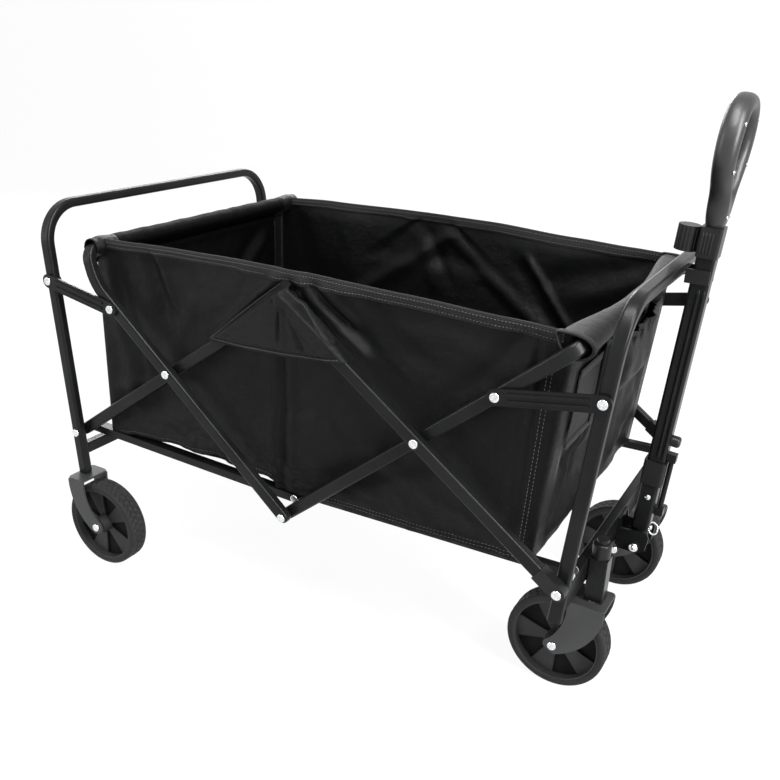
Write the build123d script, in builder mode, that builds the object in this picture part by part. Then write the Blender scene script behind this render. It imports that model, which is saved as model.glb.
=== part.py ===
from build123d import *
import os
from math import cos, hypot, radians, sin, tan

os.makedirs("parts", exist_ok=True)

# Folding wagon, millimetres. X runs along the wagon with the handle at +X,
# Y runs across it, Z is up and the wheels stand on Z = 0. Places along the
# wagon are given from the scissor's mid plane, and at() moves them into the
# part's own frame, whose origin is under the middle of the overall length.

# ---- Tube and rivets ----
tube_width = 18.0
tube_depth = 14.0
tube_corner = 4.0
plane_gap = 1.5
rivet_radius = 4.0
rivet_head_radius = 6.4
rivet_head_height = 2.6
rivet_dome = 0.8
arm_rivet_head = 1.6
bolt_head_radius = 6.8
bolt_head_height = 3.6
pin_clearance = 0.05
seat_clearance = 0.3

# ---- End frames (two upside-down U tubes that lean outwards) ----
outer_plane_y = 258.0
leg_base_x = 404.0
leg_base_z = 218.0
leg_lean = 4.86
frame_top_z = 580.0
frame_bend_radius = 56.0
front_leg_end_z = 166.0

# ---- Scissor ----
top_centre_z = 508.0
bottom_centre_z = 192.0
brace_aim_set_in = 28.0
brace_aim_z = 508.0
rear_knee_set_in = 69.0
rear_knee_radius = 70.0
rear_hem_bar_set_in = 55.5
rear_hem_bar_z = 524.0
front_hem_bar_set_in = 16.0
hem_bend_radius = 20.0
cap_length = 34.0
cap_wall = 0.8

# ---- Side links ----
link_leg_z = 465.0
link_brace_reach = 126.0
link_width = 21.0
link_plate = 3.0
link_rib_width = 4.0
link_rib_height = 1.6
link_rib_spacing = 8.4
link_rib_margin = 15.0

# ---- Floor ----
arm_height = 12.0
rear_arm_depth = 16.0
front_arm_depth = 12.0
arm_gap = 2.5
arm_drop = 10.0
board_thickness = 4.0
board_middle_gap = 47.0
rear_board_wall_gap = 12.0
front_board_wall_gap = 9.0
board_side_gap = 6.0

# ---- Wheels and forks ----
wheel_radius = 70.0
wheel_width = 31.5
wheel_shoulder = 3.0
tyre_inner_radius = 60.5
rim_wall = 2.5
rim_side_step = 1.0
web_thickness = 4.0
spoke_count = 5
spoke_depth = 13.0
spoke_root_width = 8.0
spoke_tip_width = 36.0
hub_radius = 14.0
hub_width = 44.0
axle_radius = 4.0
rear_axle_set_in = 49.0
rear_wheel_y = 259.5
fork_half_gap = 23.0
fork_plate = 3.0
fork_arch_gap = 4.0
fork_axle_pad_radius = 13.0
rear_fork_set_out = 5.0
rear_fork_set_in = 28.0
fork_pad_lean = 0.94
fork_pad_share = 0.34
fork_outer_reaches = ((0.86, 0.47), (0.48, 0.05))
fork_inner_reach = (0.8, 0.55)
caster_set_out = 17.0
caster_y = 143.0
caster_trail = 42.0
caster_plate_back = 29.0
caster_plate_front = 21.0
caster_plate_corner = 5.0
swivel_gap = 2.5
spindle_radius = 6.0
spindle_washer_radius = 10.8
spindle_cap_room = 1.0

# ---- Front crossbar, caster housings and caps ----
crossbar_depth = 14.0
crossbar_bottom_z = 176.0
crossbar_height = 32.0
housing_size = 25.0
housing_corner = 2.5
housing_top_z = 212.0
cap_block_height = 21.0
cap_button_height = 6.0
cap_button_radius = 8.0
cap_inset = 0.3
cap_edge = 3.0
rear_crossbar_z = 188.0
rear_crossbar_height = 18.0
rear_crossbar_depth = 14.0

# ---- Handle ----
handle_lean = 3.8
handle_pivot_set_out = 15.0
handle_pivot_z = 167.0
handle_bolt_radius = 4.0
bracket_half_width = 20.0
bracket_plate = 3.0
bracket_corner = 6.0
bracket_front_reach = 18.0
bracket_bottom_z = 158.0
bracket_top_z = 191.0
stem_size = 24.0
stem_bore = 20.4
stem_corner = 4.0
stem_slide_clearance = 0.2
stem_foot_radius = 12.0
stem_foot_length = 26.0
stem_above_frame = 7.0
stem_overlap = 300.0
catch_bottom = 98.0
catch_top = 134.0
catch_wall = 3.0
rod_radius = 3.5
rod_offset = 19.0
rod_bottom = 52.0
rod_top = 148.0
rod_clip_height = 12.0
rod_clip_wall = 2.0
stop_knob_height = 166.0
stop_knob_radius = 8.0
stop_knob_length = 12.0
collar_height = 38.0
collar_size_x = 27.0
collar_size_y = 32.0
knob_block_length = 1.2
knob_block_width = 14.0
knob_block_height = 16.0
knob_radius = 14.0
knob_height = 32.0
knob_rib_count = 18
knob_rib_radius = 1.6
clip_drop = 18.0
clip_height = 18.0
clip_plate = 3.0
clip_gap = 0.6
clip_reach = 30.0
grip_length = 158.0
grip_half_width = 57.0
grip_depth = 26.0
grip_wall = 22.0
grip_neck_radius = 24.0
grip_hole_rise = 26.0
grip_edge = 7.0

# ---- Basket ----
cloth = 3.0
wall_y = 232.0
wall_top_corner_z = 532.0
wall_top_middle_z = 541.0
rear_wall_set_in = 42.0
rear_wall_top_z = 509.0
front_wall_bottom_set_in = 52.0
front_wall_top_set_in = 28.0
wall_arm_gap = 9.0
front_wall_top_z = 500.0
hem_cloth = 2.2
hem_notch = 16.0
floor_cloth = 2.0
flap_top_z = 529.0
flap_half_width = 112.0
flap_bottom_z = 443.0
flap_cloth = 2.0
flap_clearance = 0.6
flap_roof_half_width = 26.0
pocket_half_width = 105.0
pocket_bottom_z = 372.0
pocket_top_z = 492.0
pocket_depth = 30.0
pocket_cloth = 2.0

# ---- Places worked out from the sizes ----
brace_aim_x = leg_base_x - brace_aim_set_in
rear_knee_x = leg_base_x - rear_knee_set_in
rear_hem_bar_x = leg_base_x - rear_hem_bar_set_in
front_hem_bar_x = leg_base_x - front_hem_bar_set_in
rear_wall_x = leg_base_x - rear_wall_set_in
front_wall_bottom_x = leg_base_x - front_wall_bottom_set_in
front_wall_top_x = leg_base_x - front_wall_top_set_in
rear_board_hinge_x = rear_wall_x - rear_board_wall_gap
front_board_hinge_x = front_wall_bottom_x - front_board_wall_gap
axle_x_rear = leg_base_x - rear_axle_set_in
rear_fork_back_x = leg_base_x + rear_fork_set_out
rear_fork_front_x = leg_base_x - rear_fork_set_in
caster_x = leg_base_x + caster_set_out
handle_pivot_x = caster_x + handle_pivot_set_out
bracket_front_x = handle_pivot_x + bracket_front_reach
stem_top = frame_top_z + stem_above_frame - handle_pivot_z
clip_z = frame_top_z - clip_drop
inner_plane_y = outer_plane_y - tube_depth - plane_gap
lean_slope = tan(radians(leg_lean))
fork_top_z = 2 * wheel_radius + fork_arch_gap + fork_plate
rear_leg_end_z = fork_top_z + seat_clearance / 2 + tube_width / 2 * sin(radians(leg_lean))
grip_top_reach = stem_top + collar_height + grip_length
front_reach = (
    handle_pivot_x
    + grip_top_reach * sin(radians(handle_lean))
    + grip_depth / 2 * cos(radians(handle_lean))
)
rear_reach = leg_base_x + (frame_top_z - leg_base_z) * lean_slope + tube_width / 2
mid_x = (rear_reach - front_reach) / 2


def at(x, y, z):
    """A point given from the scissor's mid plane, in the part's own frame."""
    return Vector(mid_x + x, y, z)


def leg_x(z):
    """How far a leg's centre stands from the mid plane at height z."""
    return leg_base_x + (z - leg_base_z) * lean_slope


def crossing(a, b, c, d):
    """Where the line a-b meets the line c-d, in the XZ plane."""
    run_1 = (b[0] - a[0], b[1] - a[1])
    run_2 = (d[0] - c[0], d[1] - c[1])
    turn = run_1[0] * run_2[1] - run_1[1] * run_2[0]
    share = ((c[0] - a[0]) * run_2[1] - (c[1] - a[1]) * run_2[0]) / turn
    return (a[0] + share * run_1[0], a[1] + share * run_1[1])


low_pivot = (leg_base_x, leg_base_z)
top_centre = (0.0, top_centre_z)
bottom_centre = (0.0, bottom_centre_z)
brace_aim = (brace_aim_x, brace_aim_z)
cross_pivot = crossing(low_pivot, top_centre, bottom_centre, brace_aim)
brace_run = hypot(brace_aim_x, brace_aim_z - bottom_centre_z)
brace_x = brace_aim_x / brace_run
brace_z = (brace_aim_z - bottom_centre_z) / brace_run
link_pivot = (
    cross_pivot[0] + link_brace_reach * brace_x,
    cross_pivot[1] + link_brace_reach * brace_z,
)
leg_link_pivot = (leg_x(link_leg_z), link_leg_z)
rear_knee = (rear_knee_x, bottom_centre_z + rear_knee_x * brace_z / brace_x)
front_hem_bar_z = bottom_centre_z + front_hem_bar_x * brace_z / brace_x
bolt_radius = rivet_radius + pin_clearance
head_gap = 0.2
flap_y = (
    outer_plane_y
    + tube_depth / 2
    + head_gap
    + rivet_head_height
    + flap_clearance
    + flap_cloth
)
tube_side = tube_depth / 2


def section_plane(point, direction):
    """A plane across a tube: its x runs along Y, its normal along the tube."""
    return Plane(origin=point, x_dir=(0, 1, 0), z_dir=direction)


def half_section(point, direction):
    """The half of the tube's section that a round end is turned from."""
    with BuildSketch(section_plane(point, direction)) as half:
        RectangleRounded(tube_depth, tube_width, tube_corner)
        with Locations((0, -tube_width / 4)):
            Rectangle(2 * tube_depth, tube_width / 2, mode=Mode.INTERSECT)
    return half.sketch


def round_bar(start, end, y, holes):
    """A straight tube between two pivots, with round ends and pin holes."""
    first = at(start[0], y, start[1])
    last = at(end[0], y, end[1])
    along = (last - first).normalized()
    with BuildPart() as bar:
        with BuildSketch(section_plane(first, along)):
            RectangleRounded(tube_depth, tube_width, tube_corner)
        extrude(amount=(last - first).length)
        add(half_section(first, along))
        revolve(axis=Axis(first, (0, 1, 0)), revolution_arc=180)
        add(half_section(last, -along))
        revolve(axis=Axis(last, (0, 1, 0)), revolution_arc=180)
        for hole in holes:
            with Locations(Plane(origin=at(hole[0], y, hole[1]), z_dir=(0, 1, 0))):
                Cylinder(bolt_radius, 2 * tube_depth, mode=Mode.SUBTRACT)
    return bar.part


def rivet(point, head_y, tail_y, tail_head=True, collar=None, head_height=rivet_head_height):
    """A rivet along Y for the near side: a domed head outside, a shank, a tail."""
    head_plane = Plane(origin=at(point[0], head_y, point[1]), z_dir=(0, -1, 0))
    tail_plane = Plane(origin=at(point[0], tail_y, point[1]), z_dir=(0, 1, 0))
    with BuildPart() as pin:
        with BuildSketch(head_plane):
            Circle(rivet_radius)
        extrude(amount=-abs(tail_y - head_y))
        with BuildSketch(head_plane):
            Circle(rivet_head_radius)
        extrude(amount=head_height)
        fillet(pin.faces().sort_by(Axis.Y)[0].edges(), head_height * rivet_dome)
        if tail_head:
            with BuildSketch(tail_plane):
                Circle(rivet_head_radius)
            extrude(amount=rivet_head_height / 2)
        if collar:
            collar_plane = Plane(origin=at(point[0], collar[0], point[1]), z_dir=(0, 1, 0))
            with BuildSketch(collar_plane):
                Circle(rivet_head_radius)
            extrude(amount=collar[1] - collar[0])
    return pin.part


def both_sides(parts):
    """The near pieces and their mirror images on the far side, as one node."""
    with BuildPart() as pair:
        for piece in parts:
            add(piece)
        mirror(about=Plane.XZ)
    return pair.part


def save(part, name):
    """Label a finished piece and write it under its own name."""
    part.label = name
    export_step(part, f"parts/{name}.step")


# ---- End frames ----
# Each is one tube, bent into an upside-down U. The rear U stands in the outer
# plane of the scissor and the front U in the inner one, so that the two bars
# pinned to them can lie side by side.
def end_frame(side, half_width, foot_z, holes):
    """One U tube: side is -1 for the rear and +1 for the front."""
    lean = Vector(side * sin(radians(leg_lean)), 0, cos(radians(leg_lean)))
    crown_z = frame_top_z - tube_depth / 2
    foot = side * leg_x(foot_z)
    crown = side * leg_x(crown_z)
    with BuildPart() as frame:
        with BuildLine() as route:
            FilletPolyline(
                at(foot, -half_width, foot_z),
                at(crown, -half_width, crown_z),
                at(crown, half_width, crown_z),
                at(foot, half_width, foot_z),
                radius=frame_bend_radius,
            )
        with BuildSketch(section_plane(at(foot, -half_width, foot_z), lean)):
            RectangleRounded(tube_depth, tube_width, tube_corner)
        sweep()
        for hole in holes:
            for y in (-half_width, half_width):
                with Locations(Plane(origin=at(side * hole[0], y, hole[1]), z_dir=(0, 1, 0))):
                    Cylinder(bolt_radius, 2 * tube_depth, mode=Mode.SUBTRACT)
    return frame.part


rear_frame = end_frame(-1, outer_plane_y, rear_leg_end_z, [low_pivot, leg_link_pivot])
save(rear_frame, "rear_frame")
front_frame = end_frame(1, inner_plane_y, front_leg_end_z, [low_pivot, leg_link_pivot])
save(front_frame, "front_frame")

# ---- Lower bars: from the foot of each leg up to the top centre ----
rear_bar = round_bar(
    (-low_pivot[0], low_pivot[1]),
    top_centre,
    -inner_plane_y,
    [(-low_pivot[0], low_pivot[1]), (-cross_pivot[0], cross_pivot[1]), top_centre],
)
save(both_sides([rear_bar]), "rear_lower_bars")

# The front lower bar ends in a plastic cap, and the cap holds the pin.
cap_run = hypot(low_pivot[0], low_pivot[1] - top_centre_z)
cap_dir_x = low_pivot[0] / cap_run
cap_dir_z = (low_pivot[1] - top_centre_z) / cap_run
cap_start = (low_pivot[0] - cap_length * cap_dir_x, low_pivot[1] - cap_length * cap_dir_z)
bar_first = at(top_centre[0], -outer_plane_y, top_centre[1])
bar_last = at(cap_start[0], -outer_plane_y, cap_start[1])
bar_along = (bar_last - bar_first).normalized()
with BuildPart() as front_bar:
    with BuildSketch(section_plane(bar_first, bar_along)):
        RectangleRounded(tube_depth, tube_width, tube_corner)
    extrude(amount=(bar_last - bar_first).length)
    add(half_section(bar_first, bar_along))
    revolve(axis=Axis(bar_first, (0, 1, 0)), revolution_arc=180)
    for hole in (top_centre, cross_pivot):
        with Locations(Plane(origin=at(hole[0], -outer_plane_y, hole[1]), z_dir=(0, 1, 0))):
            Cylinder(bolt_radius, 2 * tube_depth, mode=Mode.SUBTRACT)
save(both_sides([front_bar.part]), "front_lower_bars")

cap_pivot = at(low_pivot[0], -outer_plane_y, low_pivot[1])
with BuildPart() as bar_cap:
    with BuildSketch(Plane(origin=cap_pivot, x_dir=bar_along, z_dir=(0, -1, 0))):
        Circle(tube_width / 2 + cap_wall)
        with Locations((-cap_length / 2, 0)):
            Rectangle(cap_length, tube_width + 2 * cap_wall)
        Circle(bolt_radius, mode=Mode.SUBTRACT)
    extrude(amount=tube_side + cap_wall, both=True)
save(both_sides([bar_cap.part]), "front_lower_bar_caps")


# ---- Upper bars: each is one tube, from the bottom centre up and across ----
def upper_bars(side, y, corners, radii, hole_points):
    """An inverted U that carries one hem: side is -1 for the rear, +1 for the front."""
    near = [at(side * p[0], -y, p[1]) for p in corners]
    far = [at(side * p[0], y, p[1]) for p in reversed(corners)]
    along = (near[1] - near[0]).normalized()
    with BuildPart() as bars:
        with BuildLine():
            FilletPolyline(*near, *far, radius=radii + radii[::-1])
        with BuildSketch(section_plane(near[0], along)):
            RectangleRounded(tube_depth, tube_width, tube_corner)
        sweep()
        add(half_section(near[0], along))
        revolve(axis=Axis(near[0], (0, 1, 0)), revolution_arc=180)
        add(half_section(far[-1], along))
        revolve(axis=Axis(far[-1], (0, 1, 0)), revolution_arc=180)
        for hole in hole_points:
            for side_y in (-y, y):
                hole_centre = at(side * hole[0], side_y, hole[1])
                with Locations(Plane(origin=hole_centre, z_dir=(0, 1, 0))):
                    Cylinder(bolt_radius, 2 * tube_depth, mode=Mode.SUBTRACT)
    return bars.part


rear_corners = [bottom_centre, rear_knee, (rear_hem_bar_x, rear_hem_bar_z)]
rear_upper = upper_bars(
    -1,
    outer_plane_y,
    rear_corners,
    [rear_knee_radius, hem_bend_radius],
    [bottom_centre, cross_pivot],
)
save(rear_upper, "rear_upper_bars")

front_corners = [bottom_centre, (front_hem_bar_x, front_hem_bar_z)]
front_upper = upper_bars(
    1,
    inner_plane_y,
    front_corners,
    [hem_bend_radius],
    [cross_pivot],
)
save(front_upper, "front_upper_bars")

# ---- Rivets, each on the body that carries its shank ----
outer_face = -outer_plane_y - tube_side
inner_outer_face = -inner_plane_y - tube_side
inner_inner_face = -inner_plane_y + tube_side
rear_arm_near_y = inner_inner_face + arm_gap
rear_arm_far_y = rear_arm_near_y + rear_arm_depth
front_arm_near_y = rear_arm_far_y + plane_gap
front_arm_far_y = front_arm_near_y + front_arm_depth
rear_low = (-low_pivot[0], low_pivot[1])
rear_link_leg = (-leg_link_pivot[0], leg_link_pivot[1])
rear_cross = (-cross_pivot[0], cross_pivot[1])
rear_link_brace = (-link_pivot[0], link_pivot[1])

rear_link_face = outer_face - plane_gap
front_link_face = inner_outer_face - plane_gap
link_outer = link_plate + link_rib_height

rear_frame_rivets = both_sides(
    [
        rivet(
            rear_low,
            outer_face - head_gap,
            rear_arm_far_y + head_gap,
            collar=(inner_inner_face + head_gap, rear_arm_near_y - head_gap),
        ),
        rivet(rear_link_leg, rear_link_face - link_plate - head_gap, outer_face + tube_depth + head_gap),
    ]
)
save(rear_frame_rivets, "rear_frame_rivets")
front_frame_rivets = both_sides(
    [
        rivet(
            low_pivot,
            outer_face - cap_wall - head_gap,
            front_arm_far_y + head_gap,
            collar=(inner_inner_face + head_gap, front_arm_near_y - head_gap),
        ),
        rivet(leg_link_pivot, front_link_face - link_plate - head_gap, inner_inner_face + head_gap),
    ]
)
save(front_frame_rivets, "front_frame_rivets")
rear_bar_rivets = both_sides(
    [
        rivet(rear_cross, outer_face - head_gap, inner_inner_face + head_gap),
        rivet(top_centre, outer_face - head_gap, inner_inner_face + head_gap),
    ]
)
save(rear_bar_rivets, "rear_lower_bar_rivets")
front_bar_rivets = both_sides([rivet(cross_pivot, outer_face - head_gap, inner_inner_face + head_gap)])
save(front_bar_rivets, "front_lower_bar_rivets")
brace_rivets = both_sides(
    [rivet(bottom_centre, outer_face - head_gap, inner_outer_face - seat_clearance, tail_head=False)]
)
save(brace_rivets, "rear_upper_bar_rivets")


# ---- Side links: pressed strips with two ribs ----
def side_link(start, end, face_y):
    """A strip from a leg pivot to a brace pivot, its inner face at face_y."""
    first = at(start[0], face_y, start[1])
    last = at(end[0], face_y, end[1])
    span = last - first
    middle = (first + last) * 0.5
    strip_plane = Plane(origin=middle, x_dir=span.normalized(), z_dir=(0, -1, 0))
    rib_length = span.length - 2 * link_rib_margin
    with BuildPart() as link:
        with BuildSketch(strip_plane):
            SlotCenterToCenter(span.length, link_width)
            with Locations((-span.length / 2, 0), (span.length / 2, 0)):
                Circle(bolt_radius, mode=Mode.SUBTRACT)
        extrude(amount=link_plate)
        with BuildSketch(strip_plane.offset(link_plate)):
            with Locations((0, link_rib_spacing / 2), (0, -link_rib_spacing / 2)):
                SlotOverall(rib_length, link_rib_width)
        extrude(amount=link_rib_height)
    return link.part


save(both_sides([side_link(rear_link_leg, rear_link_brace, rear_link_face)]), "rear_links")
save(both_sides([side_link(leg_link_pivot, link_pivot, front_link_face)]), "front_links")
rear_link_head_y = rear_link_face - link_plate - head_gap
rear_link_rivets = both_sides(
    [rivet(rear_link_brace, rear_link_head_y, outer_face - seat_clearance, tail_head=False)]
)
save(rear_link_rivets, "rear_link_rivets")
front_link_head_y = front_link_face - link_plate - head_gap
front_link_rivets = both_sides(
    [rivet(link_pivot, front_link_head_y, inner_outer_face - seat_clearance, tail_head=False)]
)
save(front_link_rivets, "front_link_rivets")

# ---- Floor: two pairs of arms below the cloth and two boards on top of it ----
arm_run = Vector(leg_base_x, 0, arm_drop)
arm_length = arm_run.length


def arm_plane(side, y):
    """A plane at one pair's hinge: x runs along the arm to the middle, y is up."""
    hinge = at(side * leg_base_x, y, leg_base_z)
    along = Vector(-side * leg_base_x, 0, -arm_drop).normalized()
    return Plane(origin=hinge, x_dir=along, z_dir=(0, side, 0))


def floor_arms(side, near_y, depth, tip_hole):
    """A pair of arms that turn about the low pivots, as one node."""
    with BuildPart() as arms:
        for y in (near_y + depth / 2, -near_y - depth / 2):
            with BuildSketch(arm_plane(side, y)):
                with Locations((arm_length / 2, 0)):
                    SlotOverall(arm_length + arm_height, arm_height)
                Circle(bolt_radius, mode=Mode.SUBTRACT)
                if tip_hole:
                    with Locations((arm_length, 0)):
                        Circle(bolt_radius, mode=Mode.SUBTRACT)
            extrude(amount=depth / 2, both=True)
    return arms.part


def cloth_line(x):
    """The height of the floor cloth's underside, x from the mid plane."""
    share = (leg_base_x - abs(x)) / leg_base_x
    return leg_base_z - share * arm_drop + arm_height / 2 + seat_clearance


def floor_board(side, hinge_x, half_width):
    """A stiff board on the floor cloth; it stands up against its end wall."""
    hinge_z = cloth_line(hinge_x) + floor_cloth + seat_clearance + board_thickness / 2
    along = Vector(-side * leg_base_x, 0, -arm_drop).normalized()
    board_plane = Plane(
        origin=at(side * hinge_x, 0, hinge_z), x_dir=along, z_dir=(0, side, 0)
    )
    board_length = hinge_x - board_middle_gap
    with BuildPart() as board:
        with BuildSketch(board_plane):
            with Locations((board_length / 2, 0)):
                Rectangle(board_length, board_thickness)
            Circle(board_thickness / 2)
        extrude(amount=half_width, both=True)
    return board.part


save(floor_arms(-1, rear_arm_near_y, rear_arm_depth, True), "rear_floor_arms")
save(floor_arms(1, front_arm_near_y, front_arm_depth, False), "front_floor_arms")
board_half_width = -front_arm_far_y - board_side_gap
save(floor_board(-1, rear_board_hinge_x, board_half_width), "rear_floor_board")
save(floor_board(1, front_board_hinge_x, board_half_width), "front_floor_board")
arm_tip = (0.0, leg_base_z - arm_drop)
arm_rivets = both_sides(
    [
        rivet(
            arm_tip,
            rear_arm_near_y - head_gap,
            front_arm_near_y - seat_clearance,
            tail_head=False,
            head_height=arm_rivet_head,
        )
    ]
)
save(arm_rivets, "rear_floor_arm_rivets")

# ---- Rear crossbar ----
rear_tie_x = leg_x(rear_crossbar_z)
with BuildPart() as rear_crossbar:
    with BuildSketch(Plane(origin=at(-rear_tie_x, 0, rear_crossbar_z), x_dir=(1, 0, 0), z_dir=(0, 1, 0))):
        RectangleRounded(rear_crossbar_depth, rear_crossbar_height, tube_corner / 2)
    extrude(amount=outer_plane_y - tube_side, both=True)
save(rear_crossbar.part, "rear_crossbar")


# ---- Forks ----
def fork(centre_x, centre_y, axle_x, plate_back, plate_front, top_hole):
    """A top plate and two cheeks that curve down to the axle."""
    outer_half = fork_half_gap + fork_plate
    back_x = centre_x - plate_back
    front_x = centre_x + plate_front
    cheek_top = fork_top_z - fork_plate
    with BuildPart() as piece:
        with BuildSketch(Plane(origin=at(0, centre_y, fork_top_z), z_dir=(0, 0, 1))):
            with Locations(((back_x + front_x) / 2, 0)):
                RectangleRounded(front_x - back_x, 2 * outer_half, caster_plate_corner)
            if top_hole:
                with Locations((centre_x, 0)):
                    Circle(spindle_radius + pin_clearance, mode=Mode.SUBTRACT)
        extrude(amount=-fork_plate)
        with BuildSketch(Plane(origin=at(0, centre_y, 0), x_dir=(1, 0, 0), z_dir=(0, -1, 0))):
            with BuildLine():
                low_z = wheel_radius
                tall = cheek_top - low_z
                way = 1 if back_x + front_x > 2 * axle_x else -1
                outer_x, inner_x = (front_x, back_x) if way > 0 else (back_x, front_x)
                pad_z = fork_axle_pad_radius * fork_pad_lean
                pad_x = way * pad_z * fork_pad_share
                top_line = Line((inner_x, cheek_top), (outer_x, cheek_top))
                Spline(
                    top_line @ 1,
                    *(
                        (axle_x + (outer_x - axle_x) * across, low_z + tall * up)
                        for across, up in fork_outer_reaches
                    ),
                    (axle_x + pad_x, low_z - pad_z),
                )
                Spline(
                    (axle_x + pad_x, low_z - pad_z),
                    (axle_x - way * fork_axle_pad_radius, low_z),
                    (axle_x - pad_x, low_z + pad_z),
                )
                Spline(
                    (axle_x - pad_x, low_z + pad_z),
                    (
                        axle_x + (inner_x - axle_x) * fork_inner_reach[0],
                        low_z + tall * fork_inner_reach[1],
                    ),
                    top_line @ 0,
                )
            make_face()
            with Locations((axle_x, low_z)):
                Circle(axle_radius + pin_clearance, mode=Mode.SUBTRACT)
        extrude(amount=outer_half, both=True)
        with Locations(at((back_x + axle_x) / 2, centre_y, 0)):
            Box(
                4 * wheel_radius,
                2 * fork_half_gap,
                2 * cheek_top,
                mode=Mode.SUBTRACT,
            )
    return piece.part


rear_fork_centre = -leg_x(rear_leg_end_z)
near_rear_fork = fork(
    rear_fork_centre,
    -rear_wheel_y,
    -axle_x_rear,
    rear_fork_back_x + rear_fork_centre,
    -rear_fork_front_x - rear_fork_centre,
    False,
)
save(both_sides([near_rear_fork]), "rear_forks")
front_axle_x = caster_x - caster_trail
near_caster_fork = fork(
    caster_x, -caster_y, front_axle_x, caster_plate_back, caster_plate_front, True
)
save(near_caster_fork, "right_caster_fork")
save(near_caster_fork.mirror(Plane.XZ), "left_caster_fork")


def axle(centre_x, centre_y):
    """A round axle across a fork, with a domed head at each end."""
    reach = fork_half_gap + fork_plate + head_gap
    with BuildPart() as pin:
        with BuildSketch(Plane(origin=at(centre_x, centre_y, wheel_radius), z_dir=(0, 1, 0))):
            Circle(axle_radius)
        extrude(amount=reach, both=True)
        for way in (-1, 1):
            head = Plane(
                origin=at(centre_x, centre_y + way * reach, wheel_radius), z_dir=(0, way, 0)
            )
            with BuildSketch(head):
                Circle(rivet_head_radius)
            extrude(amount=rivet_head_height)
        fillet(
            pin.faces().sort_by(Axis.Y)[0].edges() + pin.faces().sort_by(Axis.Y)[-1].edges(),
            rivet_head_height * rivet_dome,
        )
    return pin.part


save(both_sides([axle(-axle_x_rear, -rear_wheel_y)]), "rear_axles")
save(axle(front_axle_x, -caster_y), "right_caster_axle")
save(axle(front_axle_x, caster_y), "left_caster_axle")


# ---- Wheels ----
def tyre(centre_x, centre_y):
    """A plain ring with rounded shoulders."""
    half = wheel_width / 2
    with BuildPart() as ring:
        wheel_centre = at(centre_x, centre_y, wheel_radius)
        with BuildSketch(Plane(origin=wheel_centre, x_dir=(1, 0, 0), z_dir=(0, 1, 0))):
            Circle(wheel_radius)
            Circle(tyre_inner_radius, mode=Mode.SUBTRACT)
        extrude(amount=half, both=True)
        rims = ring.edges().filter_by(GeomType.CIRCLE).sort_by(SortBy.RADIUS)[-2:]
        fillet(rims, wheel_shoulder)
    return ring.part


def rim(centre_x, centre_y):
    """Rim, web, wedge spokes on both faces and a hub with its bore."""
    wheel_plane = Plane(
        origin=at(centre_x, centre_y, wheel_radius), x_dir=(1, 0, 0), z_dir=(0, 1, 0)
    )
    rim_outer = tyre_inner_radius
    rim_inner = rim_outer - rim_wall
    with BuildPart() as core:
        with BuildSketch(wheel_plane):
            Circle(rim_outer)
            Circle(rim_inner, mode=Mode.SUBTRACT)
        extrude(amount=wheel_width / 2 - rim_side_step, both=True)
        with BuildSketch(wheel_plane):
            Circle(rim_inner + rim_wall / 2)
        extrude(amount=web_thickness / 2, both=True)
        with BuildSketch(wheel_plane):
            with PolarLocations(0, spoke_count, start_angle=180 / spoke_count):
                Polygon(
                    (hub_radius / 2, -spoke_root_width / 2),
                    (rim_outer, -spoke_tip_width / 2),
                    (rim_outer, spoke_tip_width / 2),
                    (hub_radius / 2, spoke_root_width / 2),
                    align=None,
                )
            Circle(rim_inner + rim_wall / 2, mode=Mode.INTERSECT)
        extrude(amount=spoke_depth / 2, both=True)
        with BuildSketch(wheel_plane):
            Circle(hub_radius)
        extrude(amount=hub_width / 2, both=True)
        with BuildSketch(wheel_plane):
            Circle(axle_radius + pin_clearance)
        extrude(amount=hub_width, both=True, mode=Mode.SUBTRACT)
    return core.part


for name, wheel_x, wheel_y in (
    ("rear_right", -axle_x_rear, -rear_wheel_y),
    ("rear_left", -axle_x_rear, rear_wheel_y),
    ("front_right", front_axle_x, -caster_y),
    ("front_left", front_axle_x, caster_y),
):
    save(tyre(wheel_x, wheel_y), f"{name}_tyre")
    save(rim(wheel_x, wheel_y), f"{name}_wheel")

# ---- Front crossbar ----
crossbar_front_x = caster_x - housing_size / 2
crossbar_top_z = crossbar_bottom_z + crossbar_height
crossbar_centre = at(
    crossbar_front_x - crossbar_depth / 2, 0, crossbar_bottom_z + crossbar_height / 2
)
with BuildPart() as front_crossbar:
    with BuildSketch(Plane(origin=crossbar_centre, x_dir=(1, 0, 0), z_dir=(0, 1, 0))):
        RectangleRounded(crossbar_depth, crossbar_height, tube_corner / 2)
    extrude(amount=-inner_inner_face, both=True)
save(front_crossbar.part, "front_crossbar")

# ---- Caster housings: a square tube around each spindle, and a cap on top ----
housing_bottom_z = fork_top_z + swivel_gap
with BuildPart() as housing:
    with BuildSketch(Plane(origin=at(caster_x, -caster_y, housing_bottom_z))):
        RectangleRounded(housing_size, housing_size, housing_corner)
        Circle(spindle_radius + pin_clearance, mode=Mode.SUBTRACT)
    extrude(amount=housing_top_z - housing_bottom_z)
save(both_sides([housing.part]), "caster_housings")

with BuildPart() as housing_cap:
    with BuildSketch(Plane(origin=at(caster_x, -caster_y, housing_top_z))):
        Circle(housing_size / 2 - cap_inset)
    extrude(amount=cap_block_height)
    fillet(housing_cap.faces().sort_by(Axis.Z)[-1].edges(), cap_edge)
    with BuildSketch(Plane(origin=at(caster_x, -caster_y, housing_top_z + cap_block_height))):
        Circle(cap_button_radius)
    extrude(amount=cap_button_height)
    with BuildSketch(Plane(origin=at(caster_x, -caster_y, housing_top_z))):
        Circle(spindle_radius + spindle_cap_room)
    extrude(amount=cap_block_height / 2, mode=Mode.SUBTRACT)
save(both_sides([housing_cap.part]), "caster_caps")


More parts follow.
